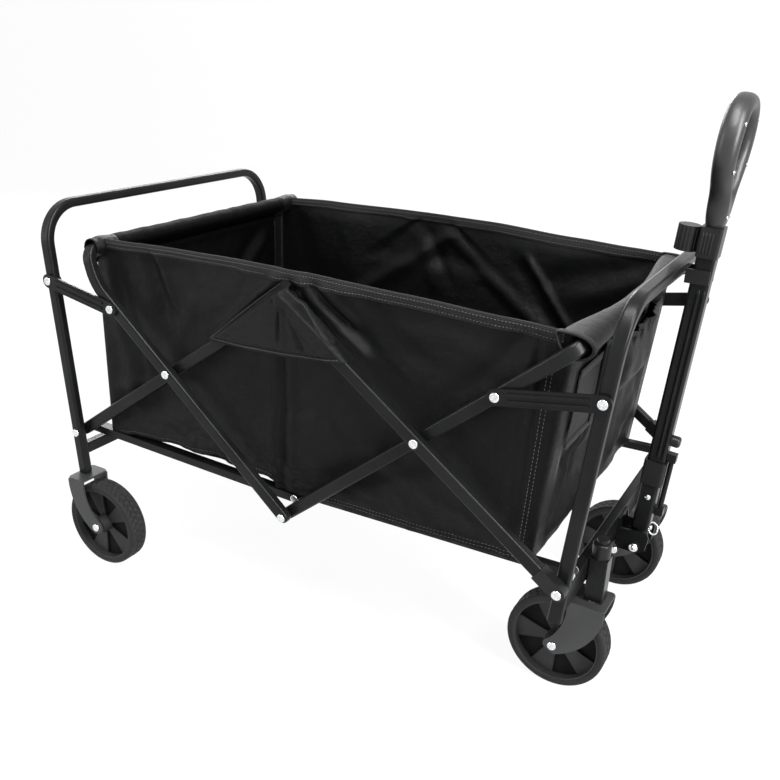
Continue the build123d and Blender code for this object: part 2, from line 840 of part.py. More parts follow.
def spindle(centre_y):
    """The upright pin that each fork turns on, with a washer below the housing."""
    with BuildPart() as pin:
        with BuildSketch(Plane(origin=at(caster_x, centre_y, fork_top_z - fork_plate))):
            Circle(spindle_radius)
        extrude(amount=housing_top_z + cap_block_height / 4 - fork_top_z + fork_plate)
        with BuildSketch(Plane(origin=at(caster_x, centre_y, fork_top_z))):
            Circle(spindle_washer_radius)
        extrude(amount=swivel_gap - seat_clearance)
    return pin.part


save(spindle(-caster_y), "right_caster_spindle")
save(spindle(caster_y), "left_caster_spindle")

# ---- Handle bracket, bolt and clip ----
handle_up = Vector(sin(radians(handle_lean)), 0, cos(radians(handle_lean)))
handle_pivot = at(handle_pivot_x, 0, handle_pivot_z)
cheek_half = bracket_half_width - bracket_plate
with BuildPart() as bracket:
    with BuildSketch(Plane(origin=at(0, 0, 0), x_dir=(1, 0, 0), z_dir=(0, -1, 0))):
        with BuildLine():
            Polyline(
                (crossbar_front_x, bracket_bottom_z + bracket_corner),
                (crossbar_front_x, crossbar_top_z - bracket_plate),
                (crossbar_front_x + bracket_plate, crossbar_top_z - bracket_plate),
                (crossbar_front_x + 2 * bracket_plate, bracket_top_z),
                (bracket_front_x - bracket_corner / 2, bracket_top_z),
                (bracket_front_x, bracket_top_z - bracket_corner),
                (bracket_front_x - bracket_corner / 2, bracket_bottom_z + bracket_corner),
                (bracket_front_x - 2 * bracket_corner, bracket_bottom_z),
                (crossbar_front_x + bracket_corner, bracket_bottom_z),
                close=True,
            )
        make_face()
        with Locations((handle_pivot_x, handle_pivot_z)):
            Circle(handle_bolt_radius + pin_clearance, mode=Mode.SUBTRACT)
    extrude(amount=bracket_half_width, both=True)
    with BuildSketch(Plane(origin=at(0, 0, 0), x_dir=(1, 0, 0), z_dir=(0, -1, 0))):
        with Locations((crossbar_front_x + bracket_plate + housing_size * 2, handle_pivot_z)):
            Rectangle(4 * housing_size, 6 * housing_size)
    extrude(amount=cheek_half, both=True, mode=Mode.SUBTRACT)
save(bracket.part, "handle_bracket")

with BuildPart() as bolt:
    with BuildSketch(Plane(origin=handle_pivot, z_dir=(0, 1, 0))):
        Circle(handle_bolt_radius)
    extrude(amount=bracket_half_width + head_gap, both=True)
    for way in (-1, 1):
        head = Plane(
            origin=at(handle_pivot_x, way * (bracket_half_width + head_gap), handle_pivot_z),
            z_dir=(0, way, 0),
        )
        with BuildSketch(head):
            RegularPolygon(bolt_head_radius, 6)
        extrude(amount=bolt_head_height)
save(bolt.part, "handle_bolt")

clip_back_x = leg_x(clip_z + clip_height / 2) + tube_width / 2 + seat_clearance
stem_half = stem_size / 2
clip_inner = stem_half + clip_gap
with BuildPart() as clip:
    with BuildSketch(Plane(origin=at(0, 0, clip_z), z_dir=(0, 0, 1))):
        with Locations((clip_back_x + clip_reach / 2, 0)):
            Rectangle(clip_reach, 2 * (clip_inner + clip_plate))
            Rectangle(clip_reach, 2 * clip_inner, mode=Mode.SUBTRACT)
        with Locations((clip_back_x + clip_plate / 4, 0)):
            Rectangle(clip_plate / 2, 2 * (clip_inner + clip_plate))
    extrude(amount=clip_height / 2, both=True)
save(clip.part, "handle_clip")


# ---- Handle: a lower tube on the hinge and an inner tube that slides out ----
def stem_plane(height):
    """A plane across the handle's axis, height above its hinge."""
    return Plane(
        origin=handle_pivot + handle_up * height, x_dir=(0, 1, 0), z_dir=handle_up
    )


with BuildPart() as handle_tube:
    with BuildSketch(stem_plane(stem_foot_length)):
        RectangleRounded(stem_size, stem_size, stem_corner)
    extrude(amount=stem_top - stem_foot_length)
    with BuildSketch(stem_plane(stem_foot_length)):
        Circle(stem_foot_radius)
    extrude(amount=-stem_foot_length)
    with BuildSketch(Plane(origin=handle_pivot, z_dir=(0, 1, 0))):
        Circle(stem_foot_radius)
    extrude(amount=stem_foot_radius, both=True)
    with BuildSketch(Plane(origin=handle_pivot, z_dir=(0, 1, 0))):
        Circle(handle_bolt_radius + pin_clearance)
    extrude(amount=2 * stem_foot_radius, both=True, mode=Mode.SUBTRACT)
    with BuildSketch(stem_plane(stem_top)):
        RectangleRounded(stem_bore, stem_bore, stem_corner - (stem_size - stem_bore) / 2)
    extrude(amount=stem_foot_length * 2 - stem_top, mode=Mode.SUBTRACT)
save(handle_tube.part, "handle_tube")

with BuildPart() as handle_catch:
    with BuildSketch(stem_plane(catch_bottom)):
        RectangleRounded(stem_size + 2 * catch_wall, stem_size + 2 * catch_wall, stem_corner)
        RectangleRounded(
            stem_size + 2 * seat_clearance, stem_size + 2 * seat_clearance, stem_corner, mode=Mode.SUBTRACT
        )
    extrude(amount=catch_top - catch_bottom)
save(handle_catch.part, "handle_catch")

clip_root = stem_half + seat_clearance
with BuildPart() as handle_rod:
    with BuildSketch(stem_plane(rod_bottom)):
        with Locations((0, -rod_offset)):
            Circle(rod_radius)
    extrude(amount=rod_top - rod_bottom)
    for clip_height_on_rod in (rod_bottom, rod_top - rod_clip_height):
        with BuildSketch(stem_plane(clip_height_on_rod)):
            with Locations((0, -(clip_root + rod_offset + rod_radius) / 2 - rod_clip_wall / 2)):
                Rectangle(
                    2 * (rod_radius + rod_clip_wall),
                    rod_offset + rod_radius - clip_root + rod_clip_wall,
                )
        extrude(amount=rod_clip_height)
save(handle_rod.part, "handle_rod")

with BuildPart() as stop_knob:
    knob_seat = handle_pivot + handle_up * stop_knob_height
    forward = Vector(cos(radians(handle_lean)), 0, -sin(radians(handle_lean)))
    with BuildSketch(Plane(origin=knob_seat + forward * (stem_half + seat_clearance), z_dir=forward)):
        Circle(stop_knob_radius)
    extrude(amount=stop_knob_length)
    fillet(stop_knob.faces().sort_by(Axis.X)[-1].edges(), stop_knob_radius / 2)
save(stop_knob.part, "handle_stop_knob")

inner_size = stem_bore - 2 * stem_slide_clearance
with BuildPart() as inner_tube:
    with BuildSketch(stem_plane(stem_top - stem_overlap)):
        RectangleRounded(inner_size, inner_size, stem_corner / 2)
    extrude(amount=stem_overlap + seat_clearance)
save(inner_tube.part, "handle_inner_tube")

collar_base = stem_top + seat_clearance
with BuildPart() as collar:
    with BuildSketch(stem_plane(collar_base)):
        RectangleRounded(collar_size_y, collar_size_x, stem_corner)
    extrude(amount=collar_height)
    block_height = collar_base + collar_height / 2
    block_plane = Plane(
        origin=handle_pivot + handle_up * block_height - forward * (collar_size_x / 2),
        x_dir=(0, 1, 0),
        z_dir=forward * -1,
    )
    with BuildSketch(block_plane):
        Rectangle(knob_block_width, knob_block_height)
    extrude(amount=knob_block_length)
save(collar.part, "handle_collar")

knob_offset = collar_size_x / 2 + knob_block_length + knob_radius + seat_clearance
with BuildPart() as lock_knob:
    knob_base = Plane(
        origin=handle_pivot + handle_up * (block_height - knob_height / 2) - forward * knob_offset,
        x_dir=(0, 1, 0),
        z_dir=handle_up,
    )
    with BuildSketch(knob_base):
        Circle(knob_radius - knob_rib_radius / 2)
        with PolarLocations(knob_radius - knob_rib_radius, knob_rib_count):
            Circle(knob_rib_radius)
    extrude(amount=knob_height)
save(lock_knob.part, "handle_lock_knob")

with BuildPart() as grip:
    grip_middle = stem_top + collar_height + seat_clearance
    grip_plane = Plane(
        origin=handle_pivot + handle_up * grip_middle, x_dir=(0, 1, 0), z_dir=forward
    )
    top_centre_y = grip_length - grip_half_width
    with BuildSketch(grip_plane):
        with Locations((0, top_centre_y)):
            Circle(grip_half_width)
        with Locations((0, grip_neck_radius)):
            Circle(grip_neck_radius)
        make_hull()
    extrude(amount=grip_depth / 2, both=True)
    with BuildSketch(grip_plane):
        with Locations((0, top_centre_y)):
            Circle(grip_half_width - grip_wall)
        with Locations((0, grip_neck_radius + grip_hole_rise)):
            Circle(grip_neck_radius - grip_wall / 2)
        make_hull()
    extrude(amount=grip_depth, both=True, mode=Mode.SUBTRACT)
    grip_faces = grip.faces().sort_by(Axis(handle_pivot, forward))
    fillet(grip_faces[0].edges() + grip_faces[-1].edges(), grip_edge)
save(grip.part, "handle_grip")

# ---- Basket: two stiff end walls, two side walls, hems, floor and flaps ----
rear_wall_half_width = -rear_arm_far_y - wall_arm_gap
front_wall_half_width = -front_arm_far_y - wall_arm_gap
with BuildPart() as rear_wall:
    with BuildSketch(Plane(origin=at(0, 0, 0), x_dir=(1, 0, 0), z_dir=(0, -1, 0))):
        with BuildLine():
            Polyline(
                (-rear_wall_x, cloth_line(rear_wall_x)),
                (-rear_wall_x, rear_wall_top_z),
                (cloth - rear_wall_x, rear_wall_top_z),
                (cloth - rear_wall_x, cloth_line(rear_wall_x)),
                close=True,
            )
        make_face()
    extrude(amount=rear_wall_half_width, both=True)
save(rear_wall.part, "rear_wall")

wall_bottom_z = cloth_line(front_wall_bottom_x + cloth)
front_lean = (front_wall_top_x - front_wall_bottom_x) / (front_wall_top_z - wall_bottom_z)


def front_wall_x(z):
    """The inner face of the leaning front wall at height z."""
    return front_wall_bottom_x + (z - wall_bottom_z) * front_lean


with BuildPart() as front_wall:
    with BuildSketch(Plane(origin=at(0, 0, 0), x_dir=(1, 0, 0), z_dir=(0, -1, 0))):
        with BuildLine():
            Polyline(
                (front_wall_x(wall_bottom_z), wall_bottom_z),
                (front_wall_x(front_wall_top_z), front_wall_top_z),
                (front_wall_x(front_wall_top_z) + cloth, front_wall_top_z),
                (front_wall_x(wall_bottom_z) + cloth, wall_bottom_z),
                close=True,
            )
        make_face()
    extrude(amount=front_wall_half_width, both=True)
save(front_wall.part, "front_wall")

# Each side wall wraps round both corners, up to the stiff end walls, and is
# cut away where the hem bars pass through it.
side_rear_x = cloth - rear_wall_x
with BuildPart() as side_wall:
    with BuildSketch(Plane(origin=at(0, -wall_y, 0), x_dir=(1, 0, 0), z_dir=(0, -1, 0))):
        with BuildLine():
            Polyline(
                (-rear_wall_x, cloth_line(rear_wall_x)),
                (-rear_wall_x, wall_top_corner_z),
                (0, wall_top_middle_z),
                (front_wall_x(wall_top_corner_z) + cloth, wall_top_corner_z),
                (front_wall_x(wall_bottom_z) + cloth, wall_bottom_z),
                (0, cloth_line(0)),
                close=True,
            )
        make_face()
        with Locations((-rear_hem_bar_x, rear_hem_bar_z)):
            Rectangle(2 * hem_notch, 2 * hem_notch, mode=Mode.SUBTRACT)
        with Locations((-rear_hem_bar_x - hem_notch, rear_hem_bar_z + hem_notch / 2)):
            Rectangle(2 * hem_notch, 3 * hem_notch, mode=Mode.SUBTRACT)
        with Locations((front_hem_bar_x, front_hem_bar_z + hem_notch / 2)):
            Rectangle(2 * hem_notch, 3 * hem_notch, mode=Mode.SUBTRACT)
    extrude(amount=-cloth)
    with BuildSketch(Plane(origin=at(0, -wall_y, 0), x_dir=(1, 0, 0), z_dir=(0, -1, 0))):
        with BuildLine():
            Polyline(
                (-rear_wall_x, cloth_line(rear_wall_x)),
                (-rear_wall_x, rear_wall_top_z - hem_notch),
                (side_rear_x, rear_wall_top_z - hem_notch),
                (side_rear_x, cloth_line(rear_wall_x)),
                close=True,
            )
        make_face()
    extrude(amount=rear_wall_half_width + seat_clearance - wall_y)
    with BuildSketch(Plane(origin=at(0, -wall_y, 0), x_dir=(1, 0, 0), z_dir=(0, -1, 0))):
        with BuildLine():
            Polyline(
                (front_wall_x(wall_bottom_z), wall_bottom_z),
                (front_wall_x(front_wall_top_z), front_wall_top_z),
                (front_wall_x(front_wall_top_z) + cloth, front_wall_top_z),
                (front_wall_x(wall_bottom_z) + cloth, wall_bottom_z),
                close=True,
            )
        make_face()
    extrude(amount=front_wall_half_width + seat_clearance - wall_y)
save(both_sides([side_wall.part]), "side_walls")


def hem_sleeve(x, z, x_dir):
    """The hem that a cross tube runs through, between the side walls."""
    middle = Plane(origin=at(x, 0, z), x_dir=x_dir, z_dir=(0, 1, 0))
    bore_x = tube_width + 2 * seat_clearance
    bore_y = tube_depth + 2 * seat_clearance
    with BuildPart() as sleeve:
        with BuildSketch(middle):
            RectangleRounded(bore_x + 2 * hem_cloth, bore_y + 2 * hem_cloth, tube_corner + hem_cloth)
            RectangleRounded(bore_x, bore_y, tube_corner, mode=Mode.SUBTRACT)
        extrude(amount=inner_plane_y - hem_bend_radius - seat_clearance, both=True)
    return sleeve.part


rear_lean = Vector(rear_knee_x - rear_hem_bar_x, 0, rear_hem_bar_z - rear_knee[1]).normalized()
rear_hem_dir = Vector(rear_lean.Z, 0, -rear_lean.X)
save(hem_sleeve(-rear_hem_bar_x, rear_hem_bar_z, rear_hem_dir), "rear_hem")
save(hem_sleeve(front_hem_bar_x, front_hem_bar_z, Vector(-brace_z, 0, brace_x)), "front_hem")

floor_rear_x = side_rear_x + seat_clearance
floor_front_x = front_wall_bottom_x - seat_clearance
with BuildPart() as floor_fabric:
    with BuildSketch(Plane(origin=at(0, 0, 0), x_dir=(1, 0, 0), z_dir=(0, -1, 0))):
        with BuildLine():
            Polyline(
                (floor_rear_x, cloth_line(floor_rear_x)),
                (0, cloth_line(0)),
                (floor_front_x, cloth_line(floor_front_x)),
                (floor_front_x, cloth_line(floor_front_x) + floor_cloth),
                (0, cloth_line(0) + floor_cloth),
                (floor_rear_x, cloth_line(floor_rear_x) + floor_cloth),
                close=True,
            )
        make_face()
    extrude(amount=wall_y - cloth - seat_clearance, both=True)
save(floor_fabric.part, "floor_fabric")

# A triangular flap hangs over the top centre pivot on each side.
with BuildPart() as side_flap:
    with BuildSketch(Plane(origin=at(0, -flap_y, 0), x_dir=(1, 0, 0), z_dir=(0, -1, 0))):
        with BuildLine():
            Polyline(
                (-flap_half_width, flap_bottom_z),
                (-flap_roof_half_width, flap_top_z),
                (flap_roof_half_width, flap_top_z),
                (flap_half_width, flap_bottom_z),
                close=True,
            )
        make_face()
    extrude(amount=-flap_cloth)
    with BuildSketch(Plane(origin=at(0, -flap_y, flap_top_z - flap_cloth), z_dir=(0, 0, 1))):
        with Locations((0, (flap_y - wall_y - seat_clearance) / 2)):
            Rectangle(2 * flap_roof_half_width, flap_y - wall_y - seat_clearance)
    extrude(amount=flap_cloth)
save(both_sides([side_flap.part]), "side_flaps")

# The pocket on the front wall is open at its top.
with BuildPart() as front_pocket:
    with BuildSketch(Plane(origin=at(0, 0, 0), x_dir=(1, 0, 0), z_dir=(0, -1, 0))):
        with BuildLine():
            Polyline(
                (front_wall_x(pocket_bottom_z) + cloth + seat_clearance, pocket_bottom_z),
                (front_wall_x(pocket_top_z) + cloth + seat_clearance, pocket_top_z),
                (front_wall_x(pocket_top_z) + cloth + pocket_depth, pocket_top_z),
                (front_wall_x(pocket_bottom_z) + cloth + pocket_depth / 2, pocket_bottom_z),
                close=True,
            )
        make_face()
    extrude(amount=pocket_half_width, both=True)
    offset(amount=-pocket_cloth, openings=front_pocket.faces().sort_by(Axis.Z)[-1])
save(front_pocket.part, "front_pocket")
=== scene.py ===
# %% [markdown]
# # A folding wagon
#
# This lesson dresses a finished model of a folding wagon. The steel tubes, the
# links, the forks and the wheels come from the model as solids and only need
# a good finish. The basket, its hems and flaps, the tread of the tyres and the
# moulded grip are made here, because cloth and rubber have forms that a plain
# solid can't give.

# %% The model comes in first
import math

import bpy
from mathutils import Matrix, Vector, noise


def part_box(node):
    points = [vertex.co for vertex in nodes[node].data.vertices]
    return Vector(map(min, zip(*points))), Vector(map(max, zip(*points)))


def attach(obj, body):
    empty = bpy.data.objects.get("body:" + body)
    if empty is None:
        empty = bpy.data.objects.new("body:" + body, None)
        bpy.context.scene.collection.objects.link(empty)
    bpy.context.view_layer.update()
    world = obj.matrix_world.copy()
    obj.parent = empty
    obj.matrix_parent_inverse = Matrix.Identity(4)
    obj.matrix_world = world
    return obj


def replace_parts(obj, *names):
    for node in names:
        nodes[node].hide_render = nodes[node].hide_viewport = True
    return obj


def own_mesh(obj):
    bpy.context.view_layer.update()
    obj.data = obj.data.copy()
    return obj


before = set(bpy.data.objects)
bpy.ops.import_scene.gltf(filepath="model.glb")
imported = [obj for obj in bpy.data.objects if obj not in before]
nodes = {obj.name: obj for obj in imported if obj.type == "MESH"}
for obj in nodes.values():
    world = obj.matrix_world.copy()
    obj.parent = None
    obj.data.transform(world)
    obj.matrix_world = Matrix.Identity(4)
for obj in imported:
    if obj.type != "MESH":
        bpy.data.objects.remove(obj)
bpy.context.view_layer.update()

# %% [markdown]
# ## Places
#
# Sizes below are in millimetres, as on a workshop drawing. Along the wagon
# they count from the scissor's mid plane, across it from the middle, and
# upwards from the ground. `at` turns such a place into Blender's metres. The
# mid plane isn't the middle of the model, because the handle reaches further
# out than the rear frame, so it is read from a bar that starts there.

# %% Places
MM = 0.001
TUBE_WIDTH = 18.0
mid_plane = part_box("front_lower_bars")[0].x + TUBE_WIDTH / 2 * MM


def at(x, y, z):
    """A place on the drawing, as a point in metres."""
    return Vector((mid_plane + x * MM, y * MM, z * MM))


def sideways(y):
    """A step across the wagon, in metres."""
    return Vector((0, y * MM, 0))


print("mid plane at x =", round(mid_plane, 4), "m")


# %% Numbers between numbers
def mixed(a, b, share):
    """The value or point that lies at a share of the way from a to b."""
    return a + (b - a) * share


def eased(value, low, high):
    """0 below low, 1 above high, and a smooth rise in between."""
    share = min(1.0, max(0.0, (value - low) / (high - low)))
    return share * share * (3 - 2 * share)


def between(value, pairs):
    """Reads a curve that is given as pairs of (place, height), smoothly."""
    if value <= pairs[0][0]:
        return pairs[0][1]
    for (x0, y0), (x1, y1) in zip(pairs, pairs[1:]):
        if value <= x1:
            return mixed(y0, y1, eased(value, x0, x1))
    return pairs[-1][1]


print("half way up a smooth rise:", eased(0.5, 0, 1))

# %% [markdown]
# ## Shader maths that reads like maths
#
# A finish is a net of nodes. Wiring it by hand is slow to read, so a small
# class wraps an output socket and lets Python's own operators add the Math
# nodes: `1 - mask` or `weave * 0.3 + 0.5`.


# %% Sockets with operators
class Wire:
    """An output socket that Python's operators work on."""

    def __init__(self, finish, socket):
        self.finish, self.socket = finish, socket

    def maths(self, operation, *values):
        return self.finish.node("ShaderNodeMath", {"operation": operation}, dict(enumerate(values)))

    def __add__(self, other):
        return self.maths("ADD", self, other)

    def __sub__(self, other):
        return self.maths("SUBTRACT", self, other)

    def __rsub__(self, other):
        return self.maths("SUBTRACT", other, self)

    def __mul__(self, other):
        return self.maths("MULTIPLY", self, other)

    def __gt__(self, other):
        return self.maths("GREATER_THAN", self, other)

    def __abs__(self):
        return self.maths("ABSOLUTE", self)

    __radd__ = __add__
    __rmul__ = __mul__

    def wave(self):
        """The sine of the value."""
        return self.maths("SINE", self)

    def smooth(self, low, high):
        """0 below low and 1 above high, with a smooth rise."""
        return self.finish.node(
            "ShaderNodeMapRange",
            {"interpolation_type": "SMOOTHSTEP"},
            {"Value": self, "From Min": low, "From Max": high},
        )


print("wires are ready")

# %% [markdown]
# `Finish` makes a material, and its one method `node` adds any node: its
# settings go in first, because some of them decide which sockets there are.
# Constants go straight on the shader, and nets are led to it by `paint`. The
# room's white is a net of the same kind, so the class takes a world as well.


# %% Finishes
class Finish:
    """One net of nodes: its constants go on the shader, its nets go in by name."""

    def __init__(self, name, kind=bpy.data.materials, shader="Principled BSDF", **constants):
        self.owner = kind.new(name)
        self.owner.use_nodes = True
        self.tree = self.owner.node_tree
        self.shader = self.tree.nodes[shader]
        self.paint(**constants)

    def socket(self, sockets, key):
        """A socket by its place, its name or its identifier."""
        if isinstance(key, int):
            return sockets[key]
        for one in sockets:
            if one.identifier == key or (one.name == key and one.enabled):
                return one
        raise KeyError(f"no socket {key} among {[s.name for s in sockets]}")

    def join(self, value, target):
        """Puts a value on a socket, or leads a wire to it."""
        if isinstance(value, Wire):
            self.tree.links.new(value.socket, target)
        else:
            target.default_value = value

    def paint(self, **nets):
        """Leads values and nets to the shader's sockets."""
        for key, value in nets.items():
            self.join(value, self.socket(self.shader.inputs, key.replace("_", " ")))
        return self.owner

    def node(self, kind, settings=None, sockets=None, out=0):
        """Adds a node: settings first, then the values or wires of its sockets."""
        made = self.tree.nodes.new(kind)
        for key, value in (settings or {}).items():
            setattr(made, key, value)
        for key, value in (sockets or {}).items():
            self.join(value, self.socket(made.inputs, key))
        return Wire(self, self.socket(made.outputs, out))

    def mix(self, share, first, second):
        """A colour between two colours."""
        colours = {"Factor_Float": share, "A_Color": first, "B_Color": second}
        return self.node("ShaderNodeMix", {"data_type": "RGBA"}, colours, "Result_Color")

    def place(self):
        """The place on the piece, in metres."""
        return self.node("ShaderNodeTexCoord", out="Object")

    def part(self, place, out):
        """The x, y or z (0, 1 or 2) of a place."""
        return self.node("ShaderNodeSeparateXYZ", None, {"Vector": place}, out)

    def speckle(self, scale, detail=2.0, roughness=0.5):
        """Noise with so many lumps to the metre."""
        looks = {"Scale": scale, "Detail": detail, "Roughness": roughness}
        return self.node("ShaderNodeTexNoise", None, {"Vector": self.place(), **looks}, "Fac")

    def bump(self, height, strength, distance, under=None):
        """A normal that a height in 0..1 tilts."""
        sockets = {"Height": height, "Strength": strength, "Distance": distance}
        if under is not None:
            sockets["Normal"] = under
        return self.node("ShaderNodeBump", None, sockets, "Normal")


def grey(level, warm=0.0):
    """A near-neutral colour; warm is how much red stands over blue."""
    return (level * (1 + warm), level, level * (1 - warm), 1.0)


print("finishes can be mixed")

# %% [markdown]
# ## Powder coat, plated steel and plastic
#
# The frame is steel tube with a satin black powder coat. Powder melts into a
# skin with a faint orange peel, so the finish has a fine bump and a roughness
# that wanders a little. Rivets and axles are zinc plated.


# %% Powder coat and plating
def powder_coat():
    finish = Finish("black_powder_coat", Specular_IOR_Level=0.16)
    peel = finish.speckle(1500.0, 2.0)
    drift = finish.speckle(14.0, 3.0)
    dust = finish.speckle(260.0, 4.0).smooth(0.62, 0.82)
    skin = finish.mix(drift.smooth(0.35, 0.7), grey(0.0045, -0.03), grey(0.0075, -0.03))
    return finish.paint(
        Base_Color=finish.mix(dust * 0.06, skin, grey(0.06)),
        Roughness=drift * 0.10 + dust * 0.08 + 0.24,
        Normal=finish.bump(peel, 0.10, 0.0006),
    )


def zinc():
    finish = Finish("zinc_plate", Metallic=1.0)
    cloud = finish.speckle(420.0, 3.0)
    dull, bright = (0.62, 0.63, 0.66, 1), (0.86, 0.87, 0.88, 1)
    return finish.paint(
        Base_Color=finish.mix(cloud.smooth(0.3, 0.7), dull, bright),
        Roughness=cloud * 0.16 + 0.14,
        Normal=finish.bump(finish.speckle(2600.0, 1.0), 0.12, 0.0003),
    )


coat = powder_coat()
plating = zinc()
print("coat and plating:", coat.name, plating.name)

# %% [markdown]
# The caps and the grip are moulded plastic, duller than the coat, with a fine
# spark eroded grain. The forks have a thicker, lighter paint, and the tyres
# are foamed rubber: all of these come from one recipe. The wheels' plastic has
# a recipe of its own, which paints the thin web between the spokes near black:
# painted shade, since the web lies deep between them.


# %% Plastic, paint and rubber
def moulded(name, level, rough, grain, depth, specular, warm=0.0):
    """A moulded skin: grain is its pores to the metre, depth how deep they are."""
    finish = Finish(name, Specular_IOR_Level=specular)
    drift = finish.speckle(22.0, 3.0)
    scuff = finish.speckle(150.0, 5.0).smooth(0.6, 0.8)
    skin = finish.mix(drift.smooth(0.3, 0.7), grey(level * 0.85, warm), grey(level * 1.15, warm))
    return finish.paint(
        Base_Color=finish.mix(scuff * 0.12, skin, grey(min(1.0, level * 3.0), warm)),
        Roughness=drift * 0.10 + scuff * 0.08 + rough - 0.05,
        Normal=finish.bump(finish.speckle(grain, 2.0), 0.22, depth),
    )


REAR_TRACK, FRONT_TRACK = 0.2595, 0.143


def wheel_plastic():
    """Moulded wheels; the web, found by its distance from a wheel's mid plane, gets painted shade.
    """
    finish = Finish("wheel_plastic", Specular_IOR_Level=0.2)
    drift = finish.speckle(22.0, 3.0)
    off_axis = abs(finish.part(finish.place(), 1))
    # Painted shade: the web between the spokes is painted near black, as it lies in deep shade.
    painted_web_shade = 0.0
    for track in (REAR_TRACK, FRONT_TRACK):
        painted_web_shade = painted_web_shade + (1 - abs(off_axis - track).smooth(0.0036, 0.0056))
    skin = finish.mix(drift.smooth(0.3, 0.7), grey(0.016), grey(0.023))
    return finish.paint(
        Base_Color=finish.mix(painted_web_shade, skin, grey(0.0012)),
        Roughness=drift * 0.10 + painted_web_shade * 0.3 + 0.45,
        Normal=finish.bump(finish.speckle(1100.0, 2.0), 0.22, 0.0004),
    )


cap_plastic = moulded("black_cap_plastic", 0.007, 0.34, 1400.0, 0.0003, 0.25)
grip_plastic = moulded("soft_touch_grip", 0.012, 0.40, 1900.0, 0.0003, 0.60)
rim_plastic = wheel_plastic()
fork_paint = moulded("fork_paint", 0.028, 0.46, 900.0, 0.0004, 0.35, -0.02)
tyre_rubber = moulded("foam_tyre_rubber", 0.012, 0.62, 760.0, 0.0006, 0.20, 0.01)
print("hard finishes:", len(bpy.data.materials))

# %% [markdown]
# ## Cloth
#
# The basket is sewn from coated polyester with a visible basket weave. Each
# cloth mesh carries a UV map named `cloth` that is measured in metres, so one
# weave net fits every piece at its true scale. The threads lift the bump in
# both directions, and every second crossing is a touch lighter. Webbing and
# thread have nets of their own, and the mesh of the pocket gets its dark holes
# from the same rows of sines.


# %% Woven cloth
def thread_rows(finish, per_metre):
    """Two rows of sines across each other on the cloth, as two wires."""
    uv = finish.node("ShaderNodeUVMap", {"uv_map": "cloth"})
    waves = 2 * math.pi * per_metre
    return [(finish.part(uv, axis) * waves).wave() for axis in (0, 1)]


THREADS = 420.0


def woven(name, level, gloss, sheen, specular):
    finish = Finish(name, Specular_IOR_Level=specular, Sheen_Weight=sheen, Sheen_Roughness=0.45)
    across, along = thread_rows(finish, THREADS)
    crossing = across * along
    slub = finish.speckle(90.0, 4.0)
    blot = finish.speckle(9.0, 3.0)
    dark, light = grey(level * 0.50, -0.03), grey(level * 1.75, -0.03)
    yarn = finish.mix(crossing.smooth(-0.2, 0.8), dark, light)
    crush = finish.bump(finish.speckle(40.0, 5.0, 0.62), 0.42, 0.005)
    return finish.paint(
        Base_Color=finish.mix(blot.smooth(0.35, 0.75) * 0.35, yarn, grey(level * 1.7, -0.05)),
        Roughness=blot * 0.14 + gloss - 0.07 + crossing * 0.03,
        Normal=finish.bump(crossing * 0.35 + slub * 0.45 + 0.3, 0.75, 0.0006, crush),
    )


wall_cloth = woven("basket_cloth", 0.0030, 0.34, 0.01, 0.11)
patch_cloth = woven("flap_cloth", 0.0032, 0.40, 0.01, 0.13)
# Painted shade: the rear wall's inside lies in the basket's shade, so its cloth is a darker copy of
# the same weave.
painted_shade_cloth = woven("shaded_cloth", 0.0012, 0.55, 0.0, 0.05)
end_cloth = woven("end_cloth", 0.0024, 0.42, 0.0, 0.10)
print("woven:", wall_cloth.name, patch_cloth.name, painted_shade_cloth.name, end_cloth.name)


# %% Webbing, mesh and thread
def webbing(name, level):
    finish = Finish(name, Specular_IOR_Level=0.12, Sheen_Weight=0.04)
    across, along = thread_rows(finish, 520.0)
    rib = (across + along * 0.6).smooth(-1.0, 1.2)
    fluff = finish.speckle(500.0, 3.0)
    return finish.paint(
        Base_Color=finish.mix(rib * fluff, grey(level * 0.6), grey(level * 2.2)),
        Roughness=fluff * 0.2 + 0.55,
        Normal=finish.bump(rib, 0.7, 0.0008),
    )


def pocket_mesh():
    finish = Finish("pocket_mesh", Specular_IOR_Level=0.15)
    across, along = thread_rows(finish, 240.0)
    holes = (across * along).smooth(0.0, 0.35)
    return finish.paint(
        Base_Color=finish.mix(holes, grey(0.019), grey(0.002)),
        Roughness=holes * 0.3 + 0.5,
        Normal=finish.bump(1 - holes, 0.8, 0.001),
    )


def sewing_thread():
    finish = Finish("sewing_thread", Specular_IOR_Level=0.3, Sheen_Weight=0.2)
    twist = finish.speckle(1800.0, 2.0)
    return finish.paint(
        Base_Color=finish.mix(twist, grey(0.03), grey(0.09)),
        Roughness=twist * 0.2 + 0.5,
        Normal=finish.bump(twist, 0.5, 0.0003),
    )


tape_cloth = webbing("binding_tape", 0.013)
mesh_cloth = pocket_mesh()
thread = sewing_thread()
print("finishes:", len(bpy.data.materials))

# %% [markdown]
# ## The solids take their finish
#
# The solids stay as they came. Each one's role is plain from its name, so a
# short table of words picks its finish: the first word that is in the name
# wins, and everything else is coated steel.

# %% Finishes for the solids
SOLID_FINISHES = (
    (plating, ("rivets", "axle", "bolt", "spindle")),
    (tyre_rubber, ("tyre",)),
    (rim_plastic, ("wheel",)),
    (grip_plastic, ("handle_grip",)),
    (cap_plastic, ("caps", "handle_catch", "collar", "knob", "handle_clip", "board")),
    (fork_paint, ("fork",)),
)
for name, solid in nodes.items():
    fits = [finish for finish, words in SOLID_FINISHES if any(word in name for word in words)]
    solid.data.materials.clear()
    solid.data.materials.append((fits + [coat])[0])
    for face in solid.data.polygons:
        face.material_index = 0
print("finished", len(nodes), "solids")

# %% [markdown]
# ## Meshes from rows of points
#
# Every piece made here is a grid: rows of points, joined to their neighbours.
# A row can close into a ring, and a grid can close into a loop.


# %% Grids
def pairs_of(count, closed):
    """Each index with its neighbour; closed joins the last to the first."""
    return [(i, (i + 1) % count) for i in range(count if closed else count - 1)]


